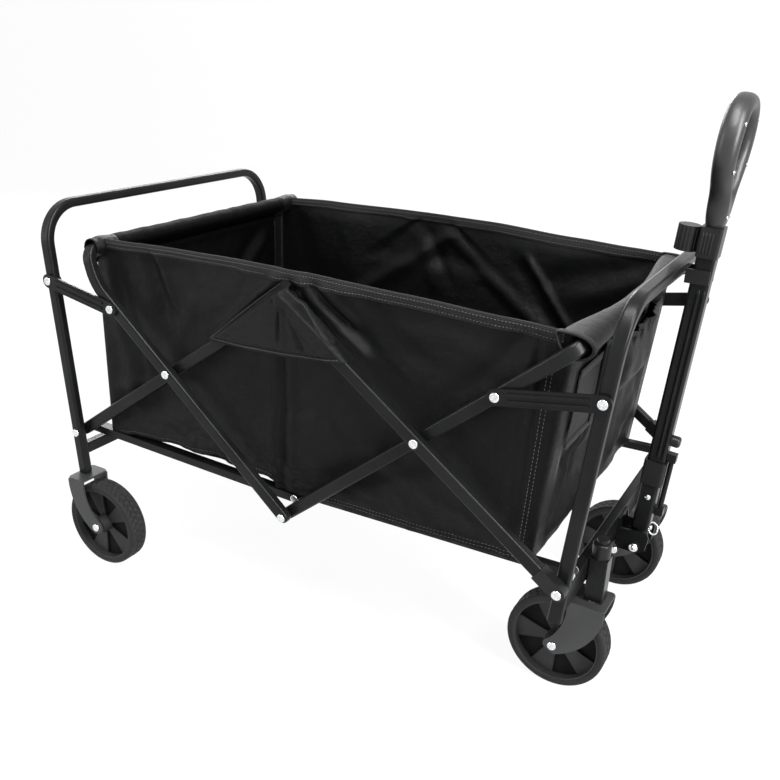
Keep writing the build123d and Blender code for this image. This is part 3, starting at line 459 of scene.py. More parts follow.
def grid_faces(rows, columns, ring=False, loop=False):
    """Faces between rows of points; ring closes each row, loop the whole grid."""
    return [
        (a * columns + c, a * columns + d, b * columns + d, b * columns + c)
        for a, b in pairs_of(rows, loop)
        for c, d in pairs_of(columns, ring)
    ]


def mesh_piece(name, points, faces, material, uvs=None):
    """A smooth mesh object from points in metres; uvs has one pair for each point."""
    mesh = bpy.data.meshes.new(name)
    mesh.from_pydata([tuple(p) for p in points], [], faces)
    mesh.materials.append(material)
    if uvs:
        layer = mesh.uv_layers.new(name="cloth")
        for loop in mesh.loops:
            layer.data[loop.index].uv = uvs[loop.vertex_index]
    mesh.validate()
    for face in mesh.polygons:
        face.use_smooth = True
    piece = bpy.data.objects.new(name, mesh)
    bpy.context.scene.collection.objects.link(piece)
    return piece


def rides(piece, body, *stands_for):
    """The piece moves with a body, and may stand for some of the model's solids."""
    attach(piece, body)
    if stands_for:
        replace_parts(piece, *stands_for)
    return piece


def rounded(piece):
    """One level of smoothing."""
    smooth = piece.modifiers.new("round", "SUBSURF")
    smooth.levels = smooth.render_levels = 1
    return piece


print("faces of a closed grid of 4 by 4:", len(grid_faces(4, 4, True, True)))

# %% [markdown]
# ## Sheets of cloth
#
# Cloth could be simulated, but a tight sewn basket hardly moves: its forms
# come from where it is held. So each panel is a grid whose points are placed
# by a function, and its folds are listed one by one. `sheet_grid` makes the
# mesh, writes the UV map in metres by measuring along the grid, and gives the
# sheet a real thickness with a Solidify modifier.


# %% Sheets
def measured_uvs(lines):
    """For each point, how far it lies along its row and down the middle column."""
    uvs, down = [], 0.0
    middle = len(lines[0]) // 2
    for r, line in enumerate(lines):
        if r:
            down += (line[middle] - lines[r - 1][middle]).length
        across = 0.0
        for c, p in enumerate(line):
            if c:
                across += (p - line[c - 1]).length
            uvs.append((across, down))
    return uvs


def sheet_grid(name, lines, material, thickness=0.9, ring=False, flip=False):
    """Cloth through rows of points in metres, with a thickness in millimetres."""
    faces = grid_faces(len(lines), len(lines[0]), ring)
    if flip:
        faces = [tuple(reversed(f)) for f in faces]
    points = [p for line in lines for p in line]
    piece = mesh_piece(name, points, faces, material, measured_uvs(lines))
    body = piece.modifiers.new("cloth thickness", "SOLIDIFY")
    body.thickness = thickness * MM
    body.offset = 0.0
    return piece


# %% [markdown]
# ## Stitches
#
# A stitch is a little spindle of eight points that lies along its seam, just
# proud of the cloth. A seam is a line of points with the cloth's outward
# directions, and the stitches are set along it at an even pitch.

# %% Stitches
SPINDLE_FACES = (
    (2, 5, 6, 3), (3, 6, 7, 4), (4, 7, 5, 2),
    (0, 2, 3), (0, 3, 4), (0, 4, 2), (1, 6, 5), (1, 7, 6), (1, 5, 7),
)
STITCH_LIFT = 0.25


def spindle(middle, along, out, length, radius):
    """The eight points of a stitch: two tips, and three points near each of them."""
    half, side = along * (length / 2 * MM), along.cross(out).normalized()
    out, side = out * (radius * MM), side * (radius * MM)
    tips = [middle - half - out, middle + half - out]
    return tips + [middle + half * end + to for end in (-0.5, 0.5) for to in (side, out, -side)]


def stitches(name, seams, pitch, length, radius):
    """One piece that holds several rows of stitches."""
    points, faces = [], []
    for line, normals in seams:
        run, next_at = 0.0, pitch / 2
        for i in range(len(line) - 1):
            step = (line[i + 1] - line[i]).length / MM
            along = (line[i + 1] - line[i]).normalized()
            while step > 1e-6 and next_at <= run + step:
                share = (next_at - run) / step
                out = normals[i].lerp(normals[i + 1], share).normalized()
                middle = line[i].lerp(line[i + 1], share) + out * (STITCH_LIFT * MM)
                faces += [tuple(len(points) + k for k in face) for face in SPINDLE_FACES]
                points += spindle(middle, along, out, length, radius)
                next_at += pitch
            run += step
    return mesh_piece(name, points, faces, thread)


def seam(spots, lift):
    """A seam's points, lifted off the cloth by so many millimetres, and its normals."""
    return [p + out * (lift * MM) for p, out in spots], [out for _, out in spots]


print("faces of a stitch:", len(SPINDLE_FACES))

# %% [markdown]
# ## Folds
#
# A fold in cloth under tension is a soft ridge that starts at the point that
# pulls and dies away. `fold` gives the height of one at a place on a wall, and
# `furrows` adds the small crumples that a seam leaves. Both are plain sums, so
# a wall's character is a table of folds: where each starts and ends, its
# height, its width, and the share of its run after which it fades.


# %% Folds
def fold(x, z, start_x, start_z, end_x, end_z, height, width, fade=0.55):
    """The height of one fold at a place on a wall."""
    run_x, run_z = end_x - start_x, end_z - start_z
    from_x, from_z = x - start_x, z - start_z
    share = (from_x * run_x + from_z * run_z) / (run_x * run_x + run_z * run_z)
    off = abs(from_x * run_z - from_z * run_x) / math.hypot(run_x, run_z)
    if share < -0.2 or share > 1.1 or off > 3 * width:
        return 0.0
    along = eased(share, -0.2, 0.12) * (1 - eased(share, fade, 1.1))
    return height * along * math.exp(-((off / width) ** 2))


def folds(x, z, table):
    """All the folds of a table together."""
    return sum(fold(x, z, *row) for row in table)


def furrows(x, z, size, seed):
    """Crumpling between -1 and 1, with lumps of a size in millimetres."""
    return noise.noise(Vector((x / size, z / size, seed)))


def belly(x, middle):
    """1 at `middle` millimetres either side of the scissor's joint, 0 at the joint."""
    return 0.5 + 0.5 * math.cos(math.pi * min(1.0, abs(abs(x) - middle) / middle))


print("a fold's height on its line:", round(fold(0, 50, 0, 0, 0, 100, 5.0, 10), 2), "mm")

# %% [markdown]
# ## The two side walls
#
# Each side wall is one panel that wraps round both corners of the basket, up
# to the end walls. It hangs from the hems at its corners and from the scissor's
# top joint in the middle, and its lower edge is tacked to the floor arm, so
# near the middle it stands up from the arm in a wavy line.

# %% Sizes of the basket
WALL_Y = 231.2
REAR_X = -360.5
FLOOR_BOTTOM_X = 353.5
FRONT_TOP_X, FRONT_TOP_Z = 377.5, 500.0
FLOOR_EDGE_Z = 222.6
CORNER, REAR_CORNER = 12.0, 6.0
RETURN_REAR_Y, RETURN_FRONT_Y = 204.0, 190.0
TOP_JOINT = (0.0, 508.0)
LOW_PIVOT = (404.0, 218.0)
ARM_DROP, ARM_COVER = 10.0, 7.4


def front_x(z):
    """Where the leaning front wall stands at height z."""
    return mixed(FLOOR_BOTTOM_X, FRONT_TOP_X, (z - FLOOR_EDGE_Z) / (FRONT_TOP_Z - FLOOR_EDGE_Z))


def floor_z(x):
    """The top of the floor arms' cloth at x."""
    return LOW_PIVOT[1] - ARM_DROP * (LOW_PIVOT[0] - abs(x)) / LOW_PIVOT[0] + ARM_COVER


print("the front wall leans out by", FRONT_TOP_X - FLOOR_BOTTOM_X, "mm")

# %% [markdown]
# When the wagon folds, the real cloth crumples between the two frames. A piece
# like that can't follow one body; here it rides with the rear frame on a mesh
# of its own, and each hem rides with the frame it hangs from.

rear_wall_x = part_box("rear_wall")[0].x


def folds_up(piece):
    """Cloth between the frames: it rides with the rear frame, on a mesh of its own."""
    rides(piece, "rear_end")
    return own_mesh(piece)


def draws_in(piece, body, from_y=0.0):
    """A hem: it rides with a body, on a mesh of its own; from_y only sets an anchor that nothing
    uses.
    """
    rides(piece, body)
    anchor = (rear_wall_x, from_y * MM, 0)
    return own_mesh(piece)


# %% [markdown]
# ### Edges and relief
#
# Each wall's upper and lower edge is a curve, and its relief says how far a
# place is pushed in. The near wall shows its outside, with the folds that run
# from the hems and the flap. The far wall shows its inside, where the bars of
# the scissor press two long soft ridges into it.

# %% Edges of the walls
NEAR_TOP = (
    (-362, 531.5), (-330, 534), (-200, 538.5), (-89, 540.5), (10, 540), (150, 536.5),
    (290, 532.5), (362, 530.5),
)
FAR_TOP = (
    (-362, 531.5), (-240, 537), (-60, 540.5), (60, 540.5), (210, 534.5), (300, 532.0),
    (362, 530.5),
)
NEAR_LOW = (
    (-362, 220.5), (-330, 221), (-303, 227), (-262, 229), (-224, 233), (-180, 230),
    (-132, 233), (-108, 228), (-87, 235), (-58, 229), (-38, 228), (-24, 216), (20, 214),
    (180, 217), (352, 222.5),
)
FAR_LOW = (
    (-362, 221), (-300, 228), (-250, 226), (-190, 233), (-120, 229), (-70, 234),
    (-26, 217), (30, 215), (150, 224), (230, 220), (352, 222.5),
)
print("the near wall is", between(0, NEAR_TOP) - between(0, NEAR_LOW), "mm high in the middle")

# %% Relief of the near wall
NEAR_FOLDS = (
    (-240, 522, -206, 440, -6.0, 8, 0.6), (-262, 520, -226, 410, 5.0, 12, 0.6),
    (-345, 500, -296, 250, -4.5, 15, 0.7), (-320, 480, -262, 262, 5.0, 16, 0.6),
    (-352, 300, -225, 330, -2.6, 11, 0.6), (-180, 470, -250, 330, -3.0, 18, 0.6),
    (-24, 432, -24, 222, 4.2, 5, 0.9), (-34, 430, -36, 224, -2.8, 8, 0.9),
    (-8, 432, -6, 222, -2.6, 9, 0.9), (26, 524, 86, 478, 9.0, 7, 0.8),
    (42, 530, 98, 480, -7.0, 8, 0.75), (62, 532, 190, 468, -7.5, 18, 0.6),
    (100, 520, 214, 436, 7.0, 15, 0.6), (66, 470, 118, 450, -2.6, 9, 0.6),
    (92, 470, 170, 410, 4.6, 12, 0.6), (200, 500, 310, 468, -6.0, 18, 0.6),
    (322, 520, 244, 430, 6.0, 16, 0.6), (338, 505, 334, 226, 4.6, 5, 0.95),
    (325, 470, 322, 230, -2.4, 8, 0.95), (120, 305, 310, 252, -5.5, 16, 0.7),
    (60, 258, 250, 330, 5.0, 16, 0.6), (-4, 545, 106, 446, -9.0, 9, 0.98),
    (-12, 540, -140, 426, -8.0, 8, 0.98),
)


def near_relief(x, z):
    """Millimetres inwards at a place on the near wall."""
    high = eased(z, 225, 300) * (1 - eased(z, 500, 540))
    deep = 1.0 + 7.5 * high * belly(x, 190) + folds(x, z, NEAR_FOLDS)
    tacked = (1 - eased(z, 232, 300)) * (0.6 + 1.6 * (1 - eased(abs(x + 90), 60, 190)))
    deep += tacked * (2.2 * furrows(x, 2.2 * z, 34, 3.1) + 1.3 * furrows(x, 2 * z, 13, 8.4))
    slanted = furrows(0.8 * x + 0.6 * z, z - 0.3 * x, 42, 5.2)
    deep += high * (4.5 * furrows(x, z, 95, 1.7) + 2.4 * slanted)
    return deep + 0.9 * furrows(x, z, 20, 4.6)


print("the near wall's relief at (0, 380):", round(near_relief(0, 380), 2), "mm")

# %% Relief of the far wall
FAR_FOLDS = (
    (150, 490, 238, 376, 8.0, 7, 0.8), (132, 480, 216, 370, -5.0, 14, 0.8),
    (190, 462, 372, 520, -4.5, 20, 0.9), (240, 440, 372, 500, 4.0, 18, 0.9),
    (-60, 500, -20, 400, 4.0, 12, 0.7), (-40, 510, 10, 410, -4.0, 10, 0.7),
    (-330, 520, -250, 300, -4.0, 26, 0.7), (-200, 520, -170, 300, 3.0, 30, 0.7),
)
BAR_PRESS, BAR_SOFTNESS = 6.5, 13


def bar_off(x, z, foot_x):
    """How far a place lies from the scissor bar that goes down to foot_x."""
    run_z = LOW_PIVOT[1] - TOP_JOINT[1]
    return ((x - TOP_JOINT[0]) * run_z - (z - TOP_JOINT[1]) * foot_x) / math.hypot(foot_x, run_z)


def far_relief(x, z):
    """Millimetres inwards at a place on the far wall, which shows its inside."""
    high = eased(z, 225, 300) * (1 - eased(z, 505, 540))
    deep = 1.5 + 9.0 * high * belly(x, 200) + folds(x, z, FAR_FOLDS)
    pressed = BAR_PRESS * eased(TOP_JOINT[1] + 26 - z, 0, 30) * (1 - eased(abs(x), 190, 330))
    for foot_x in (-LOW_PIVOT[0], LOW_PIVOT[0]):
        if x * foot_x > -8000:
            strength = 1 if x * foot_x > 0 else 0.4
            deep += strength * pressed * math.exp(-((bar_off(x, z, foot_x) / BAR_SOFTNESS) ** 2))
    tent = 1 - eased(abs(x + 30) / max(20.0, 1.35 * (560 - z)), 0.75, 1.05)
    deep -= 5.0 * eased(z, 438, 470) * tent
    deep += 2.0 * furrows(x, z, 80, 6.6) + 0.5 * furrows(x, z, 22, 2.9)
    tacked = 1 - eased(z, 232, 300)
    return deep + tacked * (2.0 * furrows(x, 2 * z, 36, 7.7) + 1.2 * furrows(x, 2 * z, 14, 4.1))


print("the far wall's relief at (0, 380):", round(far_relief(0, 380), 2), "mm")

# %% [markdown]
# ### One function for both walls
#
# A station says how far round the basket a column of points stands: on the
# return at the rear, on a corner's arc, along the side, and so on to the
# return at the front. The relief is faded out on the corners, where the cloth
# is tight over its seam.

# %% The path of a side wall
SIDE_COLUMNS = 210
MID_Z, TOP_Z, LOW_Z = 380, 530, 230


def stations():
    """(part, share) for each column of points, from the rear to the front."""
    made = [("rear return", s / 2) for s in range(2)]
    made += [("rear corner", s / 6) for s in range(6)]
    made += [("side", s / SIDE_COLUMNS) for s in range(SIDE_COLUMNS + 1)]
    made += [("front corner", (s + 1) / 6) for s in range(6)]
    made += [("front return", (s + 1) / 4) for s in range(4)]
    return made


def round_corner(x, radius, start, share):
    """A quarter turn: x, distance from the middle, and the outward direction."""
    angle = start - share * math.pi / 2
    out_x, out_y = math.cos(angle), math.sin(angle)
    return x + radius * out_x, WALL_Y - radius + radius * out_y, out_x, out_y


def wall_path(part, share, z):
    """x, distance from the middle, and the outward direction, at height z."""
    front = front_x(z)
    if part == "rear return":
        return REAR_X, mixed(RETURN_REAR_Y, WALL_Y - REAR_CORNER, share), -1.0, 0.0
    if part == "rear corner":
        return round_corner(REAR_X + REAR_CORNER, REAR_CORNER, math.pi, share)
    if part == "side":
        return mixed(REAR_X + REAR_CORNER, front - CORNER, share), WALL_Y, 0.0, 1.0
    if part == "front corner":
        return round_corner(front - CORNER, CORNER, math.pi / 2, share)
    return front, mixed(WALL_Y - CORNER, RETURN_FRONT_Y, share), 1.0, 0.0


print("columns of points:", len(stations()))

# %% A point of a side wall
SIDES = {
    "near": (-1, near_relief, NEAR_LOW, NEAR_TOP),
    "far": (1, far_relief, FAR_LOW, FAR_TOP),
}
RETURN_TOPS = {"rear return": 522.0, "front return": 506.0}


def wall_height(which, x):
    """How tall a side wall is at x."""
    _, _, low, top = SIDES[which]
    return between(x, top) - between(x, low)


def wall_point(which, part, share, height):
    """A point of a side wall, a share of its height up, and its outward normal."""
    side, relief, low, top = SIDES[which]
    rough_x = wall_path(part, share, MID_Z)[0]
    upper = between(rough_x, top)
    upper = min(upper, RETURN_TOPS.get(part, upper))
    z = mixed(between(rough_x, low), upper, height)
    x, y, out_x, out_y = wall_path(part, share, z)
    calm = eased(min(share, 1 - share), 0.0, 0.05) if part == "side" else 0.0
    inwards = relief(x, z) * calm if calm else 0.0
    inwards *= 1 - 0.75 * eased(z, upper - 14, upper)
    out = Vector((out_x, side * out_y, 0.0))
    return at(x - out_x * inwards, side * (y - out_y * inwards), z), out


print("a corner of the near wall:", [round(v, 3) for v in wall_point("near", "side", 1.0, 1.0)[0]])

# %% Side walls
WALL_ROWS = 96


def side_wall(which):
    heights = [r / (WALL_ROWS - 1) for r in range(WALL_ROWS)]
    lines = [
        [wall_point(which, part, share, height)[0] for part, share in stations()]
        for height in heights
    ]
    piece = sheet_grid(f"{which}_side_cloth", lines, wall_cloth, flip=which == "far")
    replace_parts(piece, "side_walls")
    return folds_up(piece)


side_cloths = {which: side_wall(which) for which in SIDES}
print("side walls:", [len(p.data.polygons) for p in side_cloths.values()], "faces")

# %% [markdown]
# ## The floor cloth
#
# The floor is a flat panel under two stiff boards. Beyond the boards its edges
# curl up to the side walls' lower edges, so that nothing gapes at the seam.

# %% Floor cloth
FLOOR_ROWS, FLOOR_HALF_COLUMNS = 91, 16
FLOOR_FLAT_Y = 200


def floor_point(x, share):
    """A point of the floor; share runs from -1 at the near wall to 1 at the far one."""
    y = share * (WALL_Y - 1.5)
    flat = floor_z(x) + 0.4 * furrows(x, y, 40, 9.9)
    edge = between(x, NEAR_LOW if share < 0 else FAR_LOW) + 0.5
    return at(x, y, mixed(flat, edge, eased(abs(y), FLOOR_FLAT_Y, WALL_Y)))


def floor_cloth():
    across = [c / FLOOR_HALF_COLUMNS for c in range(-FLOOR_HALF_COLUMNS, FLOOR_HALF_COLUMNS + 1)]
    start, end = REAR_X + 3, FLOOR_BOTTOM_X - 1.5
    places = [mixed(start, end, r / (FLOOR_ROWS - 1)) for r in range(FLOOR_ROWS)]
    lines = [[floor_point(x, share) for share in across] for x in places]
    piece = sheet_grid("floor_cloth", lines, wall_cloth, thickness=1.4)
    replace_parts(piece, "floor_fabric")
    return folds_up(piece)


floor_piece = floor_cloth()
print("floor:", len(floor_piece.data.polygons), "faces")

# %% [markdown]
# ## End walls and their hems
#
# Each end wall hangs from a cross tube that runs through a hem. At the rear
# the wall's own cloth goes up behind the tube, over it, and down again to a
# row of stitches, so hem and wall are one sheet. The hem is drawn as a curve
# round the tube and swept across the wagon, with a slight gather that comes
# and goes along it.

# %% Section of the rear hem
REAR_BAR = (-348.5, 524.0)
HEM_HALF_Y = 237.0
HEM_RADIUS = 12.6


def rear_profile(y):
    """The rear cloth's section at y: from the hem's seam over the tube and down."""
    gather = 0.9 * furrows(y, 0, 26, 4.4) + 0.6 * furrows(y, 0, 9, 1.2)
    cx, cz = REAR_BAR
    radius = HEM_RADIUS + gather + 3.0 * eased(abs(y), 205, HEM_HALF_Y)
    sag = 3.0 * math.cos(y / 235 * math.pi / 2)
    points = [(cx - 14.5, cz - 27 - sag * 0.4), (cx - 6.0, cz - 17.5)]
    for degrees in range(-50, 200, 25):
        angle = math.radians(degrees)
        points.append((cx + radius * math.cos(angle), cz + (radius - 0.8) * math.sin(angle)))
    return points + [(cx - 15.0, cz - 14), (REAR_X + 2.0, cz - 27)]


print("points round the rear bar:", len(rear_profile(0)))

# %% Rear wall
REAR_COLUMNS, REAR_ROWS = 121, 40
REAR_WALL_TOP_Z = 497.0
REAR_FOLDS = (
    (-150, 490, -60, 330, 4.0, 16), (-170, 490, -90, 320, -3.5, 20),
    (190, 480, 90, 400, 5.0, 10), (176, 496, 70, 410, -4.5, 12),
    (120, 250, 20, 350, 3.0, 18), (-180, 240, -60, 300, 3.0, 20),
)


def rear_column(y, edge):
    """The rear cloth at y: round the hem's tube and down the wall."""
    points = [at(x, y, z) for x, z in rear_profile(y)]
    for r in range(1, REAR_ROWS + 1):
        z = mixed(REAR_WALL_TOP_Z, FLOOR_EDGE_Z - 1.5, r / REAR_ROWS)
        calm = eased(edge - abs(y), 0, 30) * eased(r, 0, 6)
        deep = 6.0 * math.sin(math.pi * r / REAR_ROWS) + 2.2 * furrows(y, z, 60, 2.2)
        deep += folds(y, z, REAR_FOLDS)
        points.append(at(REAR_X + deep * calm, y, z))
    return points


def rear_wall():
    edge = RETURN_REAR_Y + 3
    places = [mixed(-edge, edge, c / (REAR_COLUMNS - 1)) for c in range(REAR_COLUMNS)]
    lines = [rear_column(y, edge) for y in places]
    # The rear wall takes the darker copy of the weave, as painted shade.
    return rides(sheet_grid("rear_wall_cloth", lines, painted_shade_cloth), "rear_end", "rear_wall")


rear_cloth = rear_wall()
print("rear wall:", len(rear_cloth.data.polygons), "faces")

# %% [markdown]
# Past the wall the hem is a hood over the bend of the bar, which comes up into
# it from below. Its lower edges are lifted there, so that the mouth opens.

# %% Ends of the rear hem
REAR_HEM_END = 250.0
HEM_END_COLUMNS = 19


def rear_hem_end(which):
    side, lines = SIDES[which][0], []
    for c in range(HEM_END_COLUMNS):
        y = side * mixed(RETURN_REAR_Y + 2.5, REAR_HEM_END, c / (HEM_END_COLUMNS - 1))
        lift = eased(abs(y), 226, REAR_HEM_END - 4)
        pinch = 1 - 0.16 * eased(abs(y), 238, REAR_HEM_END)
        lowest = REAR_BAR[1] - 30 + 22 * lift
        lines.append([
            at(mixed(REAR_BAR[0], x, pinch), y, max(z, lowest) - 2.5 * lift * (z > REAR_BAR[1]))
            for x, z in rear_profile(y)
        ])
    piece = sheet_grid(f"{which}_rear_hem_end", lines, wall_cloth, thickness=1.2)
    return draws_in(piece, "rear_end", side * RETURN_REAR_Y)


hem_ends = [rear_hem_end(which) for which in SIDES]
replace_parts(hem_ends[0], "rear_hem")
print("rear hem ends:", [piece.name for piece in hem_ends])

# %% [markdown]
# ### Front wall and its hem
#
# The front tube sits further out than the top of the wall. Near the corners
# the hem is therefore a wide flat sleeve, from the end of the side wall's
# edge over the tube and back, and its open mouth lets the bar in. Towards the
# middle it closes round the tube. The sleeve is a ring of points for each
# place across the wagon, blended from the wide ring to the snug one.

# %% Front hem
FRONT_BAR = (388.0, 518.0)
SNUG_RADIUS = 12.8
HEM_HALF_COLUMNS = 60
WIDE_RING = (
    (359.5, 531.0), (372, 531.5), (384, 530.5), (394, 527.5), (401, 521.5), (402.5, 514.0),
    (397, 507.0), (388, 503.5), (379, 503.0), (371.5, 506.5), (365, 514.0), (361, 522.5),
)


def snug_ring(y):
    """Points round the front tube, starting at its upper rear."""
    made = []
    for i in range(len(WIDE_RING)):
        angle = math.radians(150 - 360 * i / len(WIDE_RING))
        radius = SNUG_RADIUS + 0.9 * furrows(y, i * 5, 14, 3.3)
        x, z = FRONT_BAR[0] - 1 + radius * math.cos(angle), FRONT_BAR[1] + radius * math.sin(angle)
        made.append((x, z))
    return made


def hem_ring(y):
    """The sleeve's section at y, with ripples that die out at its mouth."""
    wide = eased(abs(y), 40, 232)
    ripple = 1.3 * furrows(y * 2.2, 0, 11, 7.1) * (1 - eased(abs(y), 225, HEM_HALF_Y)) * wide * 0.7
    line = []
    for i, (flat, snug) in enumerate(zip(WIDE_RING, snug_ring(y))):
        x, z = (mixed(a, b, wide) for a, b in zip(snug, flat))
        line.append(at(x, y, z + ripple * math.sin(i * 1.7)))
    return line


def front_hem():
    columns = range(-HEM_HALF_COLUMNS, HEM_HALF_COLUMNS + 1)
    lines = [hem_ring(HEM_HALF_Y * c / HEM_HALF_COLUMNS) for c in columns]
    piece = sheet_grid("front_hem_cloth", lines, patch_cloth, thickness=1.2, ring=True)
    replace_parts(rounded(piece), "front_hem")
    return draws_in(piece, "front_end")


front_hem_piece = front_hem()
print("front hem:", len(front_hem_piece.data.polygons), "faces before smoothing")

# %% Front wall
FRONT_ROWS, FRONT_COLUMNS = 61, 111
FRONT_FOLDS = (
    (-186, 236, -60, 372, 8.0, 9, 0.9), (-186, 262, -92, 366, -6.5, 9, 0.9),
    (-180, 340, 40, 300, 5.0, 12, 0.8), (-150, 240, 20, 290, -5.0, 13, 0.8),
    (150, 480, 60, 300, 5.0, 16), (186, 300, 70, 250, -4.5, 14, 0.8),
)


def front_row(share, edge):
    """The front wall's cloth a share of the way up."""
    z = mixed(FLOOR_EDGE_Z - 1.0, FRONT_TOP_Z + 4, share)
    line = []
    for c in range(FRONT_COLUMNS):
        y = mixed(-edge, edge, c / (FRONT_COLUMNS - 1))
        deep = 6.0 * math.sin(math.pi * share) + folds(y, z, FRONT_FOLDS)
        deep += 3.5 * furrows(y, z, 55, 5.5) + 1.2 * furrows(y, z, 22, 8.5)
        line.append(at(front_x(z) - deep * eased(edge - abs(y), 0, 30), y, z))
    return line


front_lines = [front_row(r / (FRONT_ROWS - 1), RETURN_FRONT_Y + 2) for r in range(FRONT_ROWS)]
front_cloth = sheet_grid("front_wall_cloth", front_lines, end_cloth)
rides(front_cloth, "front_end", "front_wall")
print("front wall:", len(front_cloth.data.polygons), "faces")

# %% [markdown]
# ## The binding along the top edge
#
# Webbing tape is folded over the raw top edge of each side wall and sewn
# through with two rows. Its section is an upside-down U that follows the wall's
# own points, so it can't drift away from the cloth. Where the flap starts, the
# tape is a little wider.

# %% Top binding
TAPE_DEPTH, TAPE_NARROWER = 15.0, 2.5
TAPE_LIFT = 1.5
BINDING_POINTS, BINDING_SEAM_POINTS = 181, 200


def wall_spot(which, share, drop):
    """A point of a side wall a number of millimetres under its top edge, and its normal."""
    x = wall_path("side", share, TOP_Z)[0]
    return wall_point(which, "side", share, 1 - drop / wall_height(which, x))


def narrow_part(share):
    """1 along the narrow part of the tape, at the rear, and 0 along the wide one."""
    return 1 - eased(share, 0.36, 0.375)


def binding_row(which, share, i):
    """The tape's section: down the outside, over the edge and down the inside."""
    depth = TAPE_DEPTH - TAPE_NARROWER * narrow_part(share)
    outside = ((depth, 1), (depth * 0.5, 1), (1.5, 1), (-1.4, 0.45))
    line = []
    for drop, out in (*outside, *((drop, -out) for drop, out in reversed(outside))):
        point, normal = wall_spot(which, share, max(drop, 0.0))
        wobble = 0.3 * furrows(i * 4.0, drop, 9, 6.1)
        point = point + normal * (out * (TAPE_LIFT + wobble) * MM)
        point.z -= min(drop, 0.0) * MM
        line.append(point)
    return line


def binding(which):
    last = BINDING_POINTS - 1
    lines = [binding_row(which, mixed(0.012, 0.999, i / last), i) for i in range(BINDING_POINTS)]
    return folds_up(sheet_grid(f"{which}_top_binding", lines, tape_cloth, flip=which == "near"))


def binding_seams(which):
    shares = [
        mixed(0.014, 0.998, i / (BINDING_SEAM_POINTS - 1)) for i in range(BINDING_SEAM_POINTS)
    ]
    seams = []
    for drop, step in ((3.0, 0.0), (TAPE_DEPTH - 4.0, 2.0)):
        spots = [wall_spot(which, share, drop - step * narrow_part(share)) for share in shares]
        for face in (1, -1):
            seams.append(seam([(point, normal * face) for point, normal in spots], TAPE_LIFT + 0.6))
    return folds_up(stitches(f"{which}_binding_stitches", seams, 4.6, 3.0, 0.42))


bindings = {which: (binding(which), binding_seams(which)) for which in SIDES}
print("bindings:", [len(p.data.polygons) for pair in bindings.values() for p in pair])

# %% [markdown]
# ## The flaps over the top joints
#
# A triangular patch is sewn under the binding and hangs over the joint where
# two bars meet, so that the bars lift it: it is a small tent with a ridge
# along each bar and a knob over the rivet. `flap_reach` stretches it tight
# between the two bars and lets it fall back to the wall beyond them.

# %% How far the flap stands out
OUTER_BAR_FACE, INNER_BAR_FACE, RIVET_FACE = 266.8, 251.4, 268.8
WALL_FACE_LOW, WALL_FACE_HIGH = 246.0, 239.0
PULL = 6.0


def flap_reach(x, z):
    """How far out the flap stands at (x, z), from the middle of the wagon."""
    above_outer, above_inner = -bar_off(x, z, LOW_PIVOT[0]), bar_off(x, z, -LOW_PIVOT[0])
    under_outer, under_inner = max(-above_outer, 0.0), max(-above_inner, 0.0)
    share = (under_inner + PULL) / (under_inner + under_outer + 2 * PULL)
    sag = 3.0 * math.sin(math.pi * share) * eased(under_outer, 5, 30)
    reach = mixed(INNER_BAR_FACE, OUTER_BAR_FACE, share) - sag
    reach = max(reach, mixed(reach, OUTER_BAR_FACE, 1 - eased(abs(above_outer), 8.0, 15.0)))
    joint = math.hypot(x - TOP_JOINT[0], z - TOP_JOINT[1])
    reach = max(reach, mixed(reach, RIVET_FACE, 1 - eased(joint, 5.0, 17.0)))
    held = 1 - eased(above_outer, 7.5, 13.0 + 10 * eased(z, 500, 524))
    held *= 1 - eased(above_inner, 8.0, 15.0)
    return mixed(mixed(WALL_FACE_LOW, WALL_FACE_HIGH, eased(z, 490, 526)), reach, held)


print("the flap stands at", round(flap_reach(*TOP_JOINT), 1), "mm over the joint")

# %% Flaps
FLAP_TOP, FLAP_LEFT, FLAP_RIGHT = (-7.0, 529.0), (-137.0, 427.0), (105.0, 447.0)
FLAP_TOP_HALF, FLAP_BELLY, FLAP_LEAST = 2.5, 7.0, 237.5
FLAP_COLUMNS, FLAP_ROWS = 76, 81
FLAP_FOLDS = (
    (-9, 506, -9, 448, -4.2, 2.4, 0.9), (-1, 506, -2, 446, 2.4, 5.0, 0.9),
    (10, 492, 32, 444, -3.4, 3.2, 0.9),
)


def flap_point(side, u, v):
    """A point of a flap: u runs -1..1 across it and v 0..1 down it."""
    left = mixed(FLAP_TOP[0] - FLAP_TOP_HALF, FLAP_LEFT[0], v)
    right = mixed(FLAP_TOP[0] + FLAP_TOP_HALF, FLAP_RIGHT[0], v)
    low = mixed(FLAP_LEFT[1], FLAP_RIGHT[1], (u + 1) / 2) - FLAP_BELLY * (1 - u * u)
    x, z = mixed(left, right, (u + 1) / 2), mixed(FLAP_TOP[1], low, v)
    crumple = 0.7 * furrows(x * 0.2, z, 4, 2.0) + 0.9 * furrows(x, z, 22, 6.0)
    reach = flap_reach(x, z) + eased(v, 0.1, 0.35) * crumple + folds(x, z, FLAP_FOLDS)
    return at(x, side * max(reach, FLAP_LEAST), z)


def flap(which):
    lines = [
        [
            flap_point(SIDES[which][0], c / (FLAP_COLUMNS - 1) * 2 - 1, r / (FLAP_ROWS - 1))
            for c in range(FLAP_COLUMNS)
        ]
        for r in range(FLAP_ROWS)
    ]
    piece = sheet_grid(f"{which}_flap", lines, patch_cloth, thickness=1.0, flip=which == "near")
    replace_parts(piece, "side_flaps")
    return folds_up(piece)


